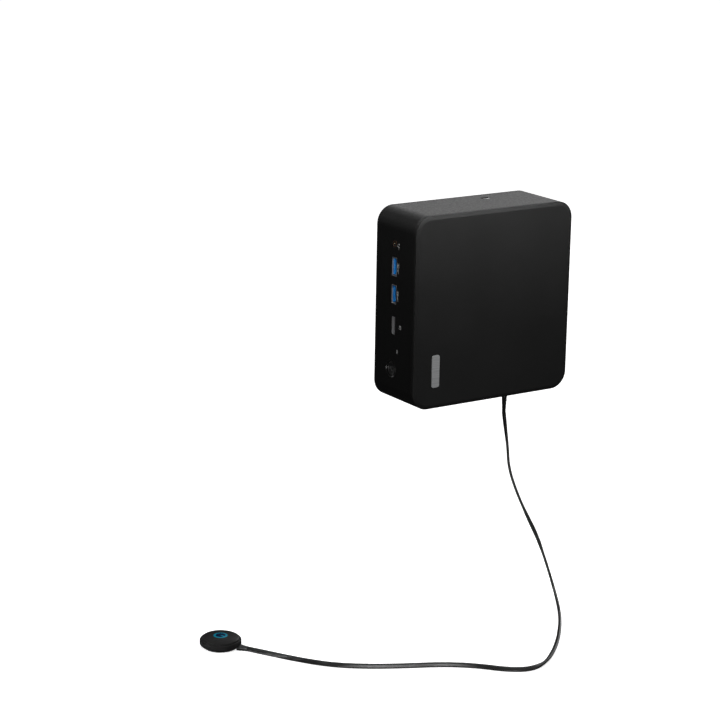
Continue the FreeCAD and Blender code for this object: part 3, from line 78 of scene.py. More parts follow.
# Each light: name, place, what it points at, width, height, power, and spread in degrees.
BOX_MIDDLE = (0.0, -0.03, 0.03)
LIGHTS = [
    ("top_sheen", (0.5, 0.66, 0.34), (0.0, -0.04, 0.068), 0.5, 0.28, 0.5, 180),
    ("corner_sheen", (0.12, 0.76, 0.62), (-0.05, -0.03, 0.065), 0.4, 0.25, 0.25, 180),
    ("overhead", (-0.2, -0.3, 1.7), (0.0, -0.1, -0.1), 1.6, 1.6, 6.0, 180),
    ("cover_wash", (0.0, -0.14, 0.155), (0.0, -0.055, 0.03), 0.3, 0.04, 0.8, 180),
    ("front_right", (0.75, -1.15, 0.75), BOX_MIDDLE, 0.8, 0.8, 1.0, 180),
    ("back_right", (1.3, 0.6, 0.35), BOX_MIDDLE, 0.9, 0.9, 6.0, 180),
    ("back_left", (-0.3, 1.5, 0.4), BOX_MIDDLE, 0.9, 0.9, 1.2, 180),
    ("table_front", (-0.5, -0.85, -0.14), (-0.12, -0.06, -0.22), 0.3, 0.1, 0.12, 26),
    ("puck_side", (-0.9, 0.04, -0.1), (-0.196, -0.013, -0.222), 0.06, 0.06, 0.011, 6),
    ("button_glint", (-1.0, 0.05, -0.27), (-0.066, -0.027, -0.044), 0.2, 0.2, 0.01, 12),
]
SURROUNDINGS_DIFFUSE = 0.25
SURROUNDINGS_GLOSSY = 0.02

# The floor: the radius of its flat part, the radius of the curve up from it, and the height of its wall.
FLOOR_FLAT, FLOOR_CURVE, FLOOR_WALL = 2.4, 0.8, 2.2
FLOOR_TURNS = 64
FLOOR_GLOW = 0.78


def make_camera():
    data = bpy.data.cameras.new("camera")
    data.sensor_width = SENSOR_WIDTH
    data.lens = FOCAL_LENGTH
    data.clip_start = 0.05
    data.clip_end = 30.0
    camera = bpy.data.objects.new("camera", data)
    SCENE.collection.objects.link(camera)
    camera.matrix_world = (
        Matrix.Translation(CAMERA_PLACE)
        @ Matrix.Rotation(-HEADING, 4, "Z")
        @ Matrix.Rotation(math.pi / 2 - PITCH, 4, "X")
        @ Matrix.Rotation(ROLL, 4, "Z")
    )
    SCENE.camera = camera


def make_lights():
    for name, place, target, width, height, power, spread in LIGHTS:
        data = bpy.data.lights.new(name, "AREA")
        data.shape = "RECTANGLE"
        data.size = width
        data.size_y = height
        data.energy = power
        data.spread = math.radians(spread)
        light = bpy.data.objects.new(name, data)
        SCENE.collection.objects.link(light)
        light.location = place
        light.rotation_mode = "QUATERNION"
        light.rotation_quaternion = (Vector(target) - Vector(place)).to_track_quat("-Z", "Y")
        light.visible_camera = False


def make_world():
    """Soft grey surroundings, dimmer in reflections so that black plastic stays black."""
    world = bpy.data.worlds.new("surroundings")
    world.use_nodes = True
    tree = world.node_tree
    path = tree.nodes.new("ShaderNodeLightPath")
    dim = tree.nodes.new("ShaderNodeMapRange")
    dim.inputs["To Min"].default_value = SURROUNDINGS_DIFFUSE
    dim.inputs["To Max"].default_value = SURROUNDINGS_GLOSSY
    background = tree.nodes["Background"]
    background.inputs["Color"].default_value = (1.0, 1.0, 1.0, 1.0)
    tree.links.new(path.outputs["Is Glossy Ray"], dim.inputs["Value"])
    tree.links.new(dim.outputs["Result"], background.inputs["Strength"])
    SCENE.world = world


def make_floor():
    """A pale floor that curves up into a backdrop all round."""
    profile = [(0.4, 0.0), (1.2, 0.0), (FLOOR_FLAT, 0.0)]
    for step in range(1, 9):
        angle = math.radians(90 * step / 8)
        profile.append((FLOOR_FLAT + FLOOR_CURVE * math.sin(angle), FLOOR_CURVE * (1 - math.cos(angle))))
    profile.append((FLOOR_FLAT + FLOOR_CURVE, FLOOR_WALL))
    mesh = bpy.data.meshes.new("floor")
    bm = bmesh.new()
    rings = []
    for radius, height in profile:
        ring = []
        for step in range(FLOOR_TURNS):
            angle = 2 * math.pi * step / FLOOR_TURNS
            ring.append(bm.verts.new((radius * math.cos(angle), radius * math.sin(angle), FLOOR + height)))
        rings.append(ring)
    bm.faces.new(rings[0])
    for inner, outer in zip(rings, rings[1:]):
        for step in range(FLOOR_TURNS):
            after = (step + 1) % FLOOR_TURNS
            bm.faces.new((inner[step], outer[step], outer[after], inner[after]))
    for face in bm.faces:
        face.smooth = True
    bmesh.ops.recalc_face_normals(bm, faces=bm.faces)
    bm.to_mesh(mesh)
    bm.free()
    floor = bpy.data.objects.new("floor", mesh)
    SCENE.collection.objects.link(floor)
    look = Look("floor", {"Roughness": 0.9, "Specular IOR Level": 0.1})
    look.colour(look.noise(3.0), (0.86, 0.86, 0.86), (0.88, 0.88, 0.88))
    look.shader.inputs["Emission Color"].default_value = (1.0, 1.0, 1.0, 1.0)
    look.shader.inputs["Emission Strength"].default_value = FLOOR_GLOW
    mesh.materials.append(look.material)
    floor.visible_diffuse = False
    floor.visible_glossy = False


# ---------------------------------------------------------------- materials


class Look:
    """One procedural material, built from the piece's own coordinates."""

    def __init__(self, name, sockets):
        self.material = bpy.data.materials.new(name)
        self.material.use_nodes = True
        self.tree = self.material.node_tree
        self.shader = self.tree.nodes["Principled BSDF"]
        for socket, value in sockets.items():
            self.shader.inputs[socket].default_value = value
        self.coordinates = self.node("TexCoord").outputs["Object"]
        self.normal = None

    def node(self, kind, sockets=(), **settings):
        made = self.tree.nodes.new("ShaderNode" + kind)
        for name, value in settings.items():
            setattr(made, name, value)
        for socket, value in dict(sockets).items():
            if isinstance(value, bpy.types.NodeSocket):
                self.tree.links.new(value, made.inputs[socket])
            else:
                made.inputs[socket].default_value = value
        return made

    def stretched(self, stretch):
        return self.node("Mapping", {"Vector": self.coordinates, "Scale": stretch}).outputs["Vector"]

    def noise(self, scale, detail=2.0, stretch=None):
        vector = self.stretched(stretch) if stretch else self.coordinates
        made = self.node("TexNoise", {"Vector": vector, "Scale": scale, "Detail": detail})
        return made.outputs["Fac"]

    def ranged(self, value, low, high, start=0.3, stop=0.7):
        sockets = {"Value": value, "From Min": start, "From Max": stop, "To Min": low, "To Max": high}
        return self.node("MapRange", sockets).outputs["Result"]

    def maths(self, operation, first, second):
        return self.node("Math", {0: first, 1: second}, operation=operation).outputs["Value"]

    def colour(self, value, first, second, start=0.3, stop=0.7, target="Base Color"):
        ramp = self.node("ValToRGB", {"Fac": value})
        for element, place, shade in zip(ramp.color_ramp.elements, (start, stop), (first, second)):
            element.position = place
            element.color = (*shade, 1.0)
        self.tree.links.new(ramp.outputs["Color"], self.shader.inputs[target])

    def roughness(self, value, low, high):
        self.tree.links.new(self.ranged(value, low, high), self.shader.inputs["Roughness"])

    def bump(self, height, distance, strength):
        sockets = {"Height": height, "Distance": distance, "Strength": strength}
        if self.normal:
            sockets["Normal"] = self.normal
        self.normal = self.node("Bump", sockets).outputs["Normal"]
        self.tree.links.new(self.normal, self.shader.inputs["Normal"])


BLOTCH_SCALE = 22.0
BLOTCH_SHARE = 0.45
DARKEST, LIGHTEST = 0.72, 1.3
BRUSHING_SCALE = 900.0
BRUSHING_DEPTH = 0.00002


def moulded(name, shade, roughness, specular, grain, depth, tint=(1.0, 1.0, 1.0)):
    """Moulded plastic or rubber: spark-eroded grain, soft blotches, and a little uneven gloss."""
    look = Look(name, {"Specular IOR Level": specular})
    blotches = look.maths("MULTIPLY", look.noise(BLOTCH_SCALE, 3.0), BLOTCH_SHARE)
    speckle = look.maths("MULTIPLY", look.noise(grain * 1.7, 1.0), 1.0 - BLOTCH_SHARE)
    mixed = look.maths("ADD", blotches, speckle)
    dark = tuple(DARKEST * shade * part for part in tint)
    light = tuple(LIGHTEST * shade * part for part in tint)
    look.colour(mixed, dark, light)
    look.roughness(look.noise(grain * 0.6, 2.0), roughness - 0.06, roughness + 0.07)
    look.bump(look.noise(grain, 2.5), depth, 0.7)
    return look


def metal(name, colour, roughness, stretch=(1.0, 1.0, 1.0), metallic=1.0):
    """Metal with fine brushing along the direction that stretch leaves short."""
    look = Look(name, {"Metallic": metallic})
    brushed = look.noise(BRUSHING_SCALE, 3.0, stretch)
    look.colour(brushed, tuple(0.82 * part for part in colour), colour)
    look.roughness(look.noise(60.0, 3.0), roughness - 0.06, roughness + 0.08)
    look.bump(brushed, BRUSHING_DEPTH, 0.5)
    return look


def laminate(name, base, trace):
    """Solder mask with the copper tracks just showing under it."""
    look = Look(name, {"Specular IOR Level": 0.5, "Coat Weight": 0.3, "Coat Roughness": 0.2})
    upright = look.node("Mapping", {"Vector": look.coordinates, "Rotation": (math.pi / 2, 0.0, 0.0)})
    tracks = look.node(
        "TexBrick",
        {
            "Vector": upright.outputs["Vector"],
            "Scale": 120.0,
            "Mortar Size": 0.03,
            "Color1": (0.0, 0.0, 0.0, 1.0),
            "Color2": (0.25, 0.25, 0.25, 1.0),
            "Mortar": (1.0, 1.0, 1.0, 1.0),
        },
    ).outputs["Color"]
    look.colour(tracks, base, trace, 0.2, 0.9)
    look.roughness(look.noise(300.0), 0.3, 0.42)
    look.bump(tracks, 0.00003, 0.4)
    return look


def brushed_badge():
    """Dull brushed metal whose lines run across the badge."""
    look = Look("badge_metal_look", {"Metallic": 0.55, "Specular IOR Level": 0.5})
    lines = look.noise(700.0, 3.0, (0.12, 1.0, 4.0))
    look.colour(lines, (0.36, 0.365, 0.37), (0.5, 0.505, 0.51))
    look.roughness(lines, 0.3, 0.42)
    look.bump(lines, 0.00002, 0.4)
    return look


def cable_look():
    """Soft cable jacket: satin, with the faint diagonal lines that its twist leaves."""
    radians_per_metre = 2600.0
    look = moulded("cable_rubber_look", 0.011, 0.40, 0.5, 2600.0, 0.00001)
    along = look.node("Attribute", attribute_name="along").outputs["Fac"]
    around = look.node("Attribute", attribute_name="around").outputs["Fac"]
    rise = look.maths("MULTIPLY", along, radians_per_metre)
    slope = look.maths("ADD", rise, look.maths("MULTIPLY", around, 2 * math.pi))
    ridges = look.node("Math", {0: slope}, operation="SINE").outputs["Value"]
    look.bump(look.ranged(ridges, 0.0, 1.0, -1.0, 1.0), 0.000025, 0.35)
    return look


def glowing(name, colour, strength, base):
    """Clear or tinted plastic with a light behind it."""
    look = Look(name, {"Emission Strength": strength, "Specular IOR Level": 0.06})
    spots = look.noise(500.0, 2.0)
    look.colour(spots, tuple(0.8 * part for part in base), base)
    look.colour(spots, tuple(0.85 * part for part in colour), colour, target="Emission Color")
    look.roughness(spots, 0.2, 0.3)
    return look


def printed(name, shade):
    """Pad-printed ink: matt, a little uneven at its thin places."""
    look = Look(name, {"Specular IOR Level": 0.2})
    look.colour(look.noise(2600.0, 2.0), (0.6 * shade,) * 3, (shade,) * 3)
    look.roughness(look.noise(900.0), 0.55, 0.7)
    look.bump(look.noise(3200.0), 0.00001, 0.4)
    return look


def make_looks():
    """Every material: each of the record's slots gets its finished look, and the added pieces get theirs."""
    looks = {
        "cover_plastic": moulded("cover_plastic_look", 0.0075, 0.5, 0.3, 2300.0, 0.00003),
        "frame_plastic": moulded("frame_plastic_look", 0.005, 0.4, 0.36, 1150.0, 0.00007),
        "base_plastic": moulded("base_plastic_look", 0.008, 0.55, 0.35, 1500.0, 0.00006),
        "badge_metal": brushed_badge(),
        "foot_rubber": moulded("foot_rubber_look", 0.014, 0.82, 0.3, 1800.0, 0.00008),
        "screw_steel": metal("screw_steel_look", (0.12, 0.12, 0.125), 0.4),
        "bare_steel": metal("bare_steel_look", (0.6, 0.6, 0.6), 0.36, (1.0, 1.0, 0.1), 0.45),
        "plate_paint": moulded("plate_paint_look", 0.012, 0.5, 0.45, 1900.0, 0.00009),
        "board_laminate": laminate("board_laminate_look", (0.006, 0.03, 0.018), (0.02, 0.08, 0.045)),
        "module_laminate": laminate("module_laminate_look", (0.006, 0.04, 0.015), (0.03, 0.11, 0.04)),
        "chip_package": moulded("chip_package_look", 0.02, 0.5, 0.4, 2600.0, 0.00002),
        "brass": metal("brass_look", (0.75, 0.55, 0.22), 0.28),
        "copper": metal("copper_look", (0.5, 0.26, 0.16), 0.36, (1.0, 1.0, 0.1)),
        "fin_aluminium": metal("fin_aluminium_look", (0.7, 0.7, 0.71), 0.34, (1.0, 0.1, 1.0)),
        "fan_plastic": moulded("fan_plastic_look", 0.012, 0.42, 0.45, 1600.0, 0.00003),
        "socket_plastic": moulded("socket_plastic_look", 0.012, 0.58, 0.35, 1800.0, 0.00003),
        "port_metal": metal("port_metal_look", (0.46, 0.46, 0.47), 0.36, (0.15, 1.0, 1.0), 0.6),
        "blue_plastic": moulded("blue_plastic_look", 0.75, 0.4, 0.4, 2400.0, 0.00002, (0.01, 0.32, 1.0)),
        "clear_light": glowing("clear_light_look", (0.75, 0.78, 0.8), 0.025, (0.25, 0.25, 0.25)),
        "button_plastic": moulded("button_plastic_look", 0.011, 0.34, 0.5, 1700.0, 0.00003),
        "bezel_gloss": moulded("bezel_gloss_look", 0.008, 0.22, 0.5, 900.0, 0.00001),
        "cable_rubber": cable_look(),
        "puck_plastic": moulded("puck_plastic_look", 0.009, 0.42, 0.14, 1500.0, 0.00003),
        "ring_light": glowing("ring_light_look", (0.003, 0.16, 0.24), 0.8, (0.0, 0.04, 0.06)),
    }
    for node in NODES.values():
        for holder in node.material_slots:
            holder.material = looks[holder.material.name].material
    looks["print"] = printed("print_look", 0.55)
    looks["print_faint"] = printed("print_faint_look", 0.13)
    looks["symbol_light"] = glowing("symbol_light_look", (0.003, 0.15, 0.23), 0.8, (0.0, 0.04, 0.06))
    looks["symbol_glow"] = glowing("symbol_glow_look", (0.0, 0.008, 0.035), 0.7, (0.0, 0.002, 0.01))
    looks["contact_gold"] = metal("contact_gold_look", (0.85, 0.7, 0.45), 0.3, metallic=0.5)
    return looks


# ---------------------------------------------------------------- mesh helpers


def piece(name, bm, look, body="root"):
    """A finished object from bm, riding on a CAD body."""
    bmesh.ops.recalc_face_normals(bm, faces=bm.faces)
    mesh = bpy.data.meshes.new(name)
    for face in bm.faces:
        face.smooth = True
    bm.to_mesh(mesh)
    bm.free()
    mesh.materials.append(look.material)
    made = bpy.data.objects.new(name, mesh)
    SCENE.collection.objects.link(made)
    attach(made, body)
    return made


def loft(bm, rings, closed=False):
    """Quads between rings of equal count; the ends are capped unless the loft closes on itself."""
    rows = [[bm.verts.new(point) for point in ring] for ring in rings]
    count = len(rows[0])
    pairs = list(zip(rows, rows[1:]))
    if closed:
        pairs.append((rows[-1], rows[0]))
    for first, second in pairs:
        for step in range(count):
            after = (step + 1) % count
            bm.faces.new((first[step], first[after], second[after], second[step]))
    if not closed:
        bm.faces.new(list(reversed(rows[0])))
        bm.faces.new(rows[-1])
    return rows


class Plane:
    """A flat face to print on: a point of it, its two directions and the way out."""

    def __init__(self, origin, across, up):
        self.origin = Vector(origin)
        self.across = Vector(across).normalized()
        self.up = Vector(up).normalized()
        self.out = self.across.cross(self.up)

    def at(self, x, y, height):
        return self.origin + self.across * x + self.up * y + self.out * height


def arc(x, y, radius, start, stop, steps):
    """Points on an arc, its angles in degrees from the plane's across direction."""
    angles = [math.radians(start + (stop - start) * step / steps) for step in range(steps + 1)]
    return [(x + radius * math.cos(angle), y + radius * math.sin(angle)) for angle in angles]


# A printed line's section, which starts a little under the face: shares of its width and of its height.
LINE_PROFILE = ((-0.5, -0.3), (-0.5, 0.6), (-0.36, 1.0), (0.36, 1.0), (0.5, 0.6), (0.5, -0.3))


def raised_line(bm, plane, points, width, height, closed=False):
    """A printed line with sloping edges that follows points on the plane."""
    rings = []
    count = len(points)
    for index, point in enumerate(points):
        before = points[index - 1] if index or closed else point
        after = points[(index + 1) % count] if index < count - 1 or closed else point
        direction = (Vector(after) - Vector(before)).normalized()
        side = Vector((-direction.y, direction.x))
        ring = []
        for offset, level in LINE_PROFILE:
            spot = Vector(point) + side * width * offset
            ring.append(plane.at(spot.x, spot.y, height * level))
        rings.append(ring)
    loft(bm, rings, closed)


def raised_patch(bm, plane, corners, height, inset=0.9):
    """A filled printed shape, its top a little smaller than its foot."""
    centre = sum((Vector(corner) for corner in corners), Vector((0.0, 0.0))) / len(corners)
    rings = []
    for level, scale in ((-0.3, 1.0), (0.6, 1.0), (1.0, inset)):
        ring = []
        for corner in corners:
            spot = centre + (Vector(corner) - centre) * scale
            ring.append(plane.at(spot.x, spot.y, height * level))
        rings.append(ring)
    loft(bm, rings)


GROOVE_SPREAD = 0.12


def rounded_section(width, height, power=3.2, steps=20, groove=0.0):
    """A flat rounded outline, width by height, with a shallow groove along the middle of each face."""
    points = []
    for step in range(steps):
        angle = 2 * math.pi * (step + 0.5) / steps
        cosine, sine = math.cos(angle), math.sin(angle)
        x = math.copysign(abs(cosine) ** (2 / power), cosine) * width / 2
        y = math.copysign(abs(sine) ** (2 / power), sine) * height / 2
        if groove:
            y -= math.copysign(groove * math.exp(-((x / (GROOVE_SPREAD * width)) ** 2)), y)
        points.append((x, y))
    return points


# ---------------------------------------------------------------- the cable

CABLE_WIDTH = 3.5 * MM
CABLE_THICKNESS = 1.95 * MM
CABLE_GROOVE = 0.09 * MM
CABLE_SEGMENTS = 10
# The cable's control points in millimetres, and the height it lies at on the table.
LYING = -226.25
ROUTE = [
    (31.5, -29, -88), (32.5, -30, -99), (33.3, -32.8, -114), (32.4, -35.8, -128),
    (36.6, -39.8, -145), (43.1, -44.8, -163), (49.5, -50.5, -179.5), (52.3, -56.9, -195),
    (53.2, -64.6, -209.5), (49.8, -76.5, -221),
    (41.7, -90.5, LYING), (29.1, -106.4, LYING), (13.9, -124.1, LYING), (-3.2, -140.9, LYING),
    (-20, -154.2, LYING), (-36, -158.6, LYING), (-50.2, -150.7, LYING), (-64, -134.5, LYING),
    (-82.3, -121, LYING), (-106, -110.1, LYING), (-127.5, -98.6, LYING), (-147.6, -83.5, LYING),
    (-162.2, -63.6, LYING), (-173.4, -44.4, LYING), (-181.6, -30.3, LYING),
]
# The way the camera looks.
SEEN_ALONG = Vector((0.5306, 0.8075, -0.2579))
# Where along the cable (millimetres) its wide side points which way: "edge" counts degrees round from
# the way the camera looks, which shows the thin side, and "lean" is the tilt from lying flat on the table.
TWISTS = [
    (0, "plug", 0), (30, "edge", 0), (70, "edge", 0), (80, "edge", 26), (89, "edge", 38), (99, "edge", 28),
    (114, "edge", 0), (250, "edge", 0), (270, "lean", 48), (292, "lean", 60), (320, "lean", 76),
    (388, "lean", 76), (400, "lean", 58), (408, "lean", 40), (417, "lean", 60), (430, "lean", 76),
    (445, "lean", 66), (466, "lean", 40),
]


def smooth_route():
    """Points along the smooth line whose control points are the route's."""
    curve = bpy.data.curves.new("cable_route", "CURVE")
    curve.dimensions = "3D"
    curve.resolution_u = CABLE_SEGMENTS
    spline = curve.splines.new("NURBS")
    spline.points.add(len(ROUTE) - 1)
    for point, place in zip(spline.points, ROUTE):
        point.co = (place[0] * MM, place[1] * MM, place[2] * MM, 1.0)
    spline.order_u = 3
    spline.use_endpoint_u = True
    holder = bpy.data.objects.new("cable_route", curve)
    SCENE.collection.objects.link(holder)
    graph = bpy.context.evaluated_depsgraph_get()
    mesh = bpy.data.meshes.new_from_object(holder.evaluated_get(graph))
    points = [vertex.co.copy() for vertex in mesh.vertices]
    bpy.data.objects.remove(holder)
    bpy.data.meshes.remove(mesh)
    bpy.data.curves.remove(curve)
    return points


def distances(points):
    """How far along the line each point is."""
    total, found = 0.0, [0.0]
    for first, second in zip(points, points[1:]):
        total += (second - first).length
        found.append(total)
    return found


def tangents(points):
    found = []
    for index in range(len(points)):
        before, after = points[max(0, index - 1)], points[min(len(points) - 1, index + 1)]
        found.append((after - before).normalized())
    return found


def wide_direction(kind, degrees, tangent):
    """The way the cable's wide side points under one of the stated twists, square to the cable."""
    angle = math.radians(degrees)
    if kind == "plug":
        wanted = Vector((0.0, 1.0, 0.0))
    elif kind == "edge":
        wanted = Matrix.Rotation(angle, 3, tangent) @ (SEEN_ALONG - tangent * SEEN_ALONG.dot(tangent))
    else:
        flat = tangent.cross(Vector((0.0, 0.0, 1.0))).normalized()
        wanted = flat * math.cos(angle) + Vector((0.0, 0.0, 1.0)) * math.sin(angle)
    return (wanted - tangent * wanted.dot(tangent)).normalized()


def ribbon_frames(points):
    """At each point, the cable's wide and thin directions, turning smoothly between the stated twists."""
    lengths, ways = distances(points), tangents(points)
    carried = [wide_direction("plug", 0, ways[0])]
    for index in range(1, len(points)):
        turn = ways[index - 1].rotation_difference(ways[index])
        moved = turn @ carried[-1]
        carried.append((moved - ways[index] * moved.dot(ways[index])).normalized())
    stations = []
    for place, kind, degrees in TWISTS:
        index = min(range(len(points)), key=lambda i: abs(lengths[i] - place * MM))
        wanted = wide_direction(kind, degrees, ways[index])
        base = carried[index]
        angle = math.atan2(wanted.dot(ways[index].cross(base)), wanted.dot(base))
        if stations:
            angle += math.pi * round((stations[-1][1] - angle) / math.pi)
        stations.append((lengths[index], angle))
    frames = []
    for length, way, base in zip(lengths, ways, carried):
        index = max((i for i in range(len(stations) - 1) if stations[i][0] <= length), default=0)
        (start, first), (stop, second) = stations[index], stations[index + 1]
        share = min(1.0, max(0.0, (length - start) / (stop - start)))
        angle = first + (second - first) * share * share * (3 - 2 * share)
        wide = Matrix.Rotation(angle, 3, way) @ base
        frames.append((wide, way.cross(wide)))
    return frames


def make_cable(looks):
    """The cable's ribbon, which carries its own coordinates for the lines on its jacket."""
    points = smooth_route()
    lengths = distances(points)
    section = rounded_section(CABLE_WIDTH, CABLE_THICKNESS, groove=CABLE_GROOVE)
    bm = bmesh.new()
    along = bm.verts.layers.float.new("along")
    around = bm.verts.layers.float.new("around")
    rings = [
        [point + wide * x + thin * y for x, y in section]
        for point, (wide, thin) in zip(points, ribbon_frames(points))
    ]
    for row, length in zip(loft(bm, rings), lengths):
        for step, vertex in enumerate(row):
            vertex[along] = length
            vertex[around] = step / len(row)
    cable = piece("link_cable", bm, looks["cable_rubber"])
    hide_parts("link_cord")
    return cable, points


# Each sleeve: its section where it starts and where it ends, wide by thick, and how many ribs it has.
PLUG_SLEEVE = ((3.0 * MM, 4.4 * MM), (1.8 * MM, 3.5 * MM), 5)
PUCK_SLEEVE = ((6.8 * MM, 3.5 * MM), (3.9 * MM, 3.3 * MM), 3)
# How far from the puck's middle its sleeve starts, in millimetres.
PUCK_SLEEVE_START = 13.3
GROOVE_SHARE = 0.09
END_START = 0.94
END_ROUNDING = 0.16


def ribbed_sleeve(name, start, stop, across, up, first, last, ribs, looks, node):
    """A tapered sleeve from one rounded section to another, with shallow flexing grooves."""
    steps = ribs * 8
    rings = []
    for step in range(steps + 1):
        share = step / steps
        groove = max(0.0, math.sin(2 * math.pi * ribs * share - 0.6)) ** 2 if 0.1 < share < END_START else 0.0
        bulge = 1.0 - GROOVE_SHARE * groove
        ease = share * share * (3 - 2 * share)
        end_round = 1.0 - END_ROUNDING * max(0.0, share - END_START) / (1.0 - END_START)
        width = (first[0] + (last[0] - first[0]) * ease) * bulge * end_round
        height = (first[1] + (last[1] - first[1]) * ease) * bulge * end_round
        centre = start.lerp(stop, share)
        rings.append([centre + across * x + up * y for x, y in rounded_section(width, height, 2.8, 28)])
    bm = bmesh.new()
    loft(bm, rings)
    sleeve = piece(name, bm, looks["cable_rubber"])
    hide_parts(node)
    return sleeve


def make_cable_ends(looks, points):
    """The ribbed sleeves that take the cable into its plug and into the puck."""
    low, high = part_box("link_strain_relief")
    centre = (low + high) / 2
    relief = ribbed_sleeve(
        "link_cable_relief", Vector((centre.x, centre.y, high.z)), Vector((centre.x, centre.y, low.z)),
        Vector((1.0, 0.0, 0.0)), Vector((0.0, 1.0, 0.0)), *PLUG_SLEEVE, looks, "link_strain_relief",
    )
    low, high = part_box("puck_base")
    centre = (low + high) / 2
    end = points[-1]
    outward = Vector((end.x - centre.x, end.y - centre.y, 0.0)).normalized()
    start = Vector((centre.x, centre.y, end.z + 0.15 * MM)) + outward * PUCK_SLEEVE_START * MM
    sleeve = ribbed_sleeve(
        "puck_cable_relief", start, Vector((end.x, end.y, end.z + 0.05 * MM)),
        outward.cross(Vector((0.0, 0.0, 1.0))), Vector((0.0, 0.0, 1.0)), *PUCK_SLEEVE, looks, "puck_sleeve",
    )
    return [relief, sleeve]


# ---------------------------------------------------------------- marks and small details

PRINT_HEIGHT = 0.06 * MM
FINE_LINE = 0.26 * MM
RAY_START = 5.0 * MM


def settle(bm, node, way, level):
    """Moves each vertex along way so that the print lies on the node's own surface instead of at level."""
    mesh = NODES[node].data
    places = [vertex.co for vertex in mesh.vertices]
    tree = BVHTree.FromPolygons(places, [face.vertices for face in mesh.polygons])
    for vertex in bm.verts:
        height = (level - vertex.co).dot(way)
        start = vertex.co + way * (height - RAY_START)
        hit = tree.ray_cast(start, way)[0]
        if hit is not None:
            vertex.co = hit - way * height


def power_symbol(bm, plane, radius, width):
    """The usual open ring and bar, the bar pointing up."""
    raised_line(bm, plane, arc(0, 0, radius, 128, 412, 36), width, PRINT_HEIGHT)
    raised_line(bm, plane, [(0.0, radius * share) for share in (0.15, 0.6, 1.05)], width, PRINT_HEIGHT)


def port_side_plane(x, y, z):
    """A plane that faces -X: across runs from the wall to the cover."""
    return Plane((x, y, z), (0.0, -1.0, 0.0), (0.0, 0.0, 1.0))


def in_mm(points):
    return [(x * MM, y * MM) for x, y in points]


def headphone_icon(bm, plane):
    """Headphones with their microphone arm, lying along the socket."""
    raised_line(bm, plane, arc(0, 0.2 * MM, 0.95 * MM, 100, 260, 18), FINE_LINE, PRINT_HEIGHT)
    for y in (1.3, -0.9):
        corners = [(0.1, y - 0.35), (0.9, y - 0.35), (0.9, y + 0.35), (0.1, y + 0.35)]
        raised_patch(bm, plane, in_mm(corners), PRINT_HEIGHT)
    raised_line(bm, plane, in_mm([(0.5, -1.5), (0.5, -2.2), (0.1, -2.9)]), FINE_LINE, PRINT_HEIGHT)


def plug_icon(bm, plane):
    """A small plug with its lead, lying along the port."""
    outline = [(-0.75, 0.5), (0.75, 0.5), (0.75, 3.6), (-0.75, 3.6)]
    raised_line(bm, plane, in_mm(outline), 0.34 * MM, PRINT_HEIGHT, closed=True)
    for y in (1.4, 2.6):
        corners = [(-0.35, y - 0.3), (0.35, y - 0.3), (0.35, y + 0.3), (-0.35, y + 0.3)]
        raised_patch(bm, plane, in_mm(corners), PRINT_HEIGHT)
    lead = [(0.0, 0.3), (0.0, -1.2), (0.5, -2.2), (0.5, -3.6)]
    raised_line(bm, plane, in_mm(lead), 0.42 * MM, PRINT_HEIGHT)


def card_icon(bm, plane):
    """A memory card with its cut corner and two of its contacts."""
    outline = [(-0.9, -1.2), (0.9, -1.2), (0.9, 0.7), (0.3, 1.3), (-0.9, 1.3)]
    raised_line(bm, plane, in_mm(outline), 0.38 * MM, PRINT_HEIGHT, closed=True)
    for x in (-0.35, 0.25):
        raised_line(bm, plane, in_mm([(x, 0.9), (x, 0.2)]), 0.22 * MM, PRINT_HEIGHT)


# Each printed mark: its icon, the port it stands beside, and how far it is (millimetres) in front of that
# port's front edge and above the port's middle.
MARKS = [
    ("mark_headphones", headphone_icon, "audio_jack", 0.6, -0.6),
    ("mark_plug_upper", plug_icon, "usb_front_shells", 1.75, 9.0),
    ("mark_plug_lower", plug_icon, "usb_front_shells", 1.75, -10.3),
    ("mark_card", card_icon, "card_reader", 4.6, 0.2),
]
POWER_SYMBOL_RADIUS = 1.7 * MM
POWER_SYMBOL_LINE = 0.42 * MM


def make_marks(looks):
    """The printed marks beside the ports, and the power button's symbol, which moves with the button."""
    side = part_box("side_frame")[0].x
    for name, draw, port, forward, above in MARKS:
        low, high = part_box(port)
        bm = bmesh.new()
        draw(bm, port_side_plane(side, low.y - forward * MM, (low.z + high.z) / 2 + above * MM))
        piece(name, bm, looks["print"])
    low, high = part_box("power_button")
    plane = port_side_plane(low.x, (low.y + high.y) / 2, (low.z + high.z) / 2)
    bm = bmesh.new()
    power_symbol(bm, plane, POWER_SYMBOL_RADIUS, POWER_SYMBOL_LINE)
    settle(bm, "power_button", -plane.out, plane.origin)
    piece("power_button_symbol", bm, looks["print_faint"], "power_button")


# The window inside the puck's ring: its radius and level, from its foot to its middle, in millimetres.
WINDOW_PROFILE = ((3.42, -0.12), (3.42, 0.02), (3.3, 0.05), (2.0, 0.07), (0.6, 0.08))
# The bar of the puck's symbol: the way it points, and how far along that it reaches, in millimetres.
BAR_WAY = (0.24, -0.97)
BAR_REACH = (0.3, 1.5, 2.6, 3.5)
BAR_WIDTH = 1.0 * MM
BAR_HEIGHT = 0.14 * MM


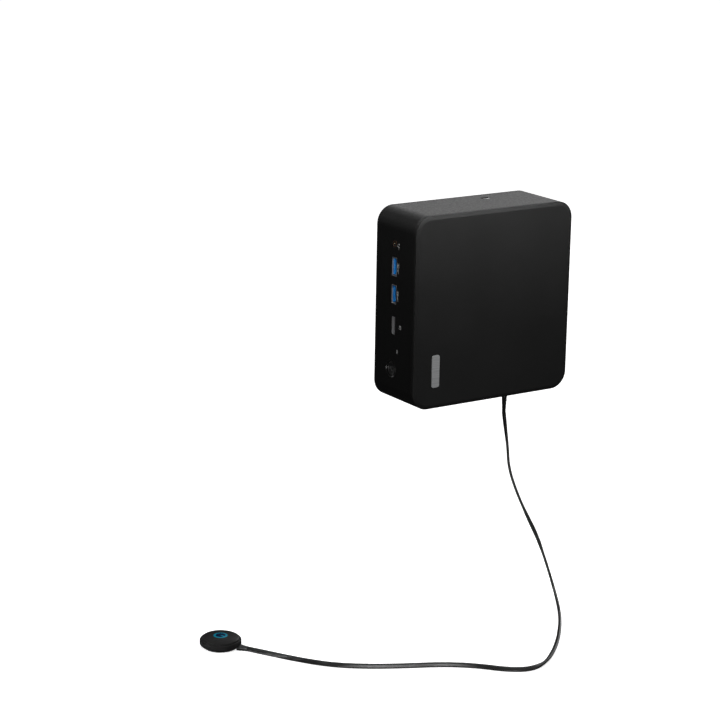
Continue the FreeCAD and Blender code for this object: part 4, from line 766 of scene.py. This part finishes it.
def make_puck_symbol(looks):
    """The lit symbol inside the puck's ring: a dark blue window and a bar that joins the ring."""
    low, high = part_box("puck_light_ring")
    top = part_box("puck_button")[1].z
    centre = (low + high) / 2
    plane = Plane((centre.x, centre.y, top - 0.02 * MM), (1.0, 0.0, 0.0), (0.0, 1.0, 0.0))
    made = []
    bm = bmesh.new()
    rings = []
    for radius, level in WINDOW_PROFILE:
        rings.append([plane.at(x, y, level * MM) for x, y in arc(0, 0, radius * MM, 0, 354, 59)])
    loft(bm, rings)
    made.append(piece("puck_symbol_window", bm, looks["symbol_glow"], "puck_button"))
    bm = bmesh.new()
    points = in_mm([(BAR_WAY[0] * reach, BAR_WAY[1] * reach) for reach in BAR_REACH])
    raised_line(bm, plane, points, BAR_WIDTH, BAR_HEIGHT)
    made.append(piece("puck_symbol_bar", bm, looks["symbol_light"], "puck_button"))
    return made


JACK_CONTACT_DEPTH = 1.35 * MM
JACK_CONTACT_OFFSET = 1.8 * MM
JACK_CONTACT_RADIUS = 0.6 * MM
JACK_CONTACT_STRETCH = 1.3


def make_jack_contact(looks):
    """The sprung contact that shines on the wall side of the audio socket's bore."""
    low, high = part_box("audio_jack_ring")
    centre = (low + high) / 2
    place = (low.x + JACK_CONTACT_DEPTH, centre.y + JACK_CONTACT_OFFSET, centre.z)
    plane = Plane(place, (1.0, 0.0, 0.0), (0.0, 0.0, 1.0))
    outline = [(JACK_CONTACT_STRETCH * x, y) for x, y in arc(0, 0, JACK_CONTACT_RADIUS, 0, 345, 23)]
    bm = bmesh.new()
    raised_patch(bm, plane, outline, JACK_CONTACT_RADIUS, inset=0.6)
    piece("audio_jack_contact", bm, looks["contact_gold"])


# The lock slot's bare rim: how far it is in front of the slot's middle, half its length, and its width.
LOCK_RIM_FORWARD = 1.7 * MM
LOCK_RIM_HALF = 2.9 * MM
LOCK_RIM_WIDTH = 0.6 * MM


def make_lock_rim(looks):
    """The bare front edge of the lock slot, which catches the light."""
    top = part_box("side_frame")[1].z
    low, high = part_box("lock_plate")
    centre = (low + high) / 2
    plane = Plane((centre.x, centre.y - LOCK_RIM_FORWARD, top), (1.0, 0.0, 0.0), (0.0, 1.0, 0.0))
    line = [(-LOCK_RIM_HALF, 0.0), (0.0, 0.0), (LOCK_RIM_HALF, 0.0)]
    bm = bmesh.new()
    raised_line(bm, plane, line, LOCK_RIM_WIDTH, PRINT_HEIGHT)
    piece("lock_slot_rim", bm, looks["bare_steel"])


# The network sockets' wires in millimetres: a wire's path in from the mouth and down from the roof, and
# the section that it has all the way.
SOCKET_PITCH = 17.5
WIRE_PITCH = 1.02
WIRE_PATH = ((3.2, 3.3), (7.0, 4.0), (11.5, 6.4))
WIRE_SECTION = (
    (-0.2, 0), (-0.14, 0.16), (0, 0.2), (0.14, 0.16), (0.2, 0), (0.14, -0.16), (0, -0.2), (-0.14, -0.16),
)


def make_network_contacts(looks):
    """The row of sprung gold wires in each network socket."""
    low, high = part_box("network_ports")
    bm = bmesh.new()
    for socket in range(2):
        middle = (low.z + high.z) / 2 + (socket - 0.5) * SOCKET_PITCH * MM
        for wire in range(8):
            z = middle + (wire - 3.5) * WIRE_PITCH * MM
            rings = []
            for inward, down in WIRE_PATH:
                x, y = high.x - inward * MM, high.y - down * MM
                rings.append([Vector((x, y + a * MM, z + b * MM)) for a, b in WIRE_SECTION])
            loft(bm, rings)
    piece("network_contacts", bm, looks["contact_gold"])


# ---------------------------------------------------------------- build

SCENE.view_settings.view_transform = "Standard"
SCENE.view_settings.look = "None"
make_camera()
make_floor()
make_world()
make_lights()
LOOKS = make_looks()
cable, cable_points = make_cable(LOOKS)
ends = make_cable_ends(LOOKS, cable_points)
make_marks(LOOKS)
symbols = make_puck_symbol(LOOKS)
make_jack_contact(LOOKS)
make_network_contacts(LOOKS)
make_lock_rim(LOOKS)
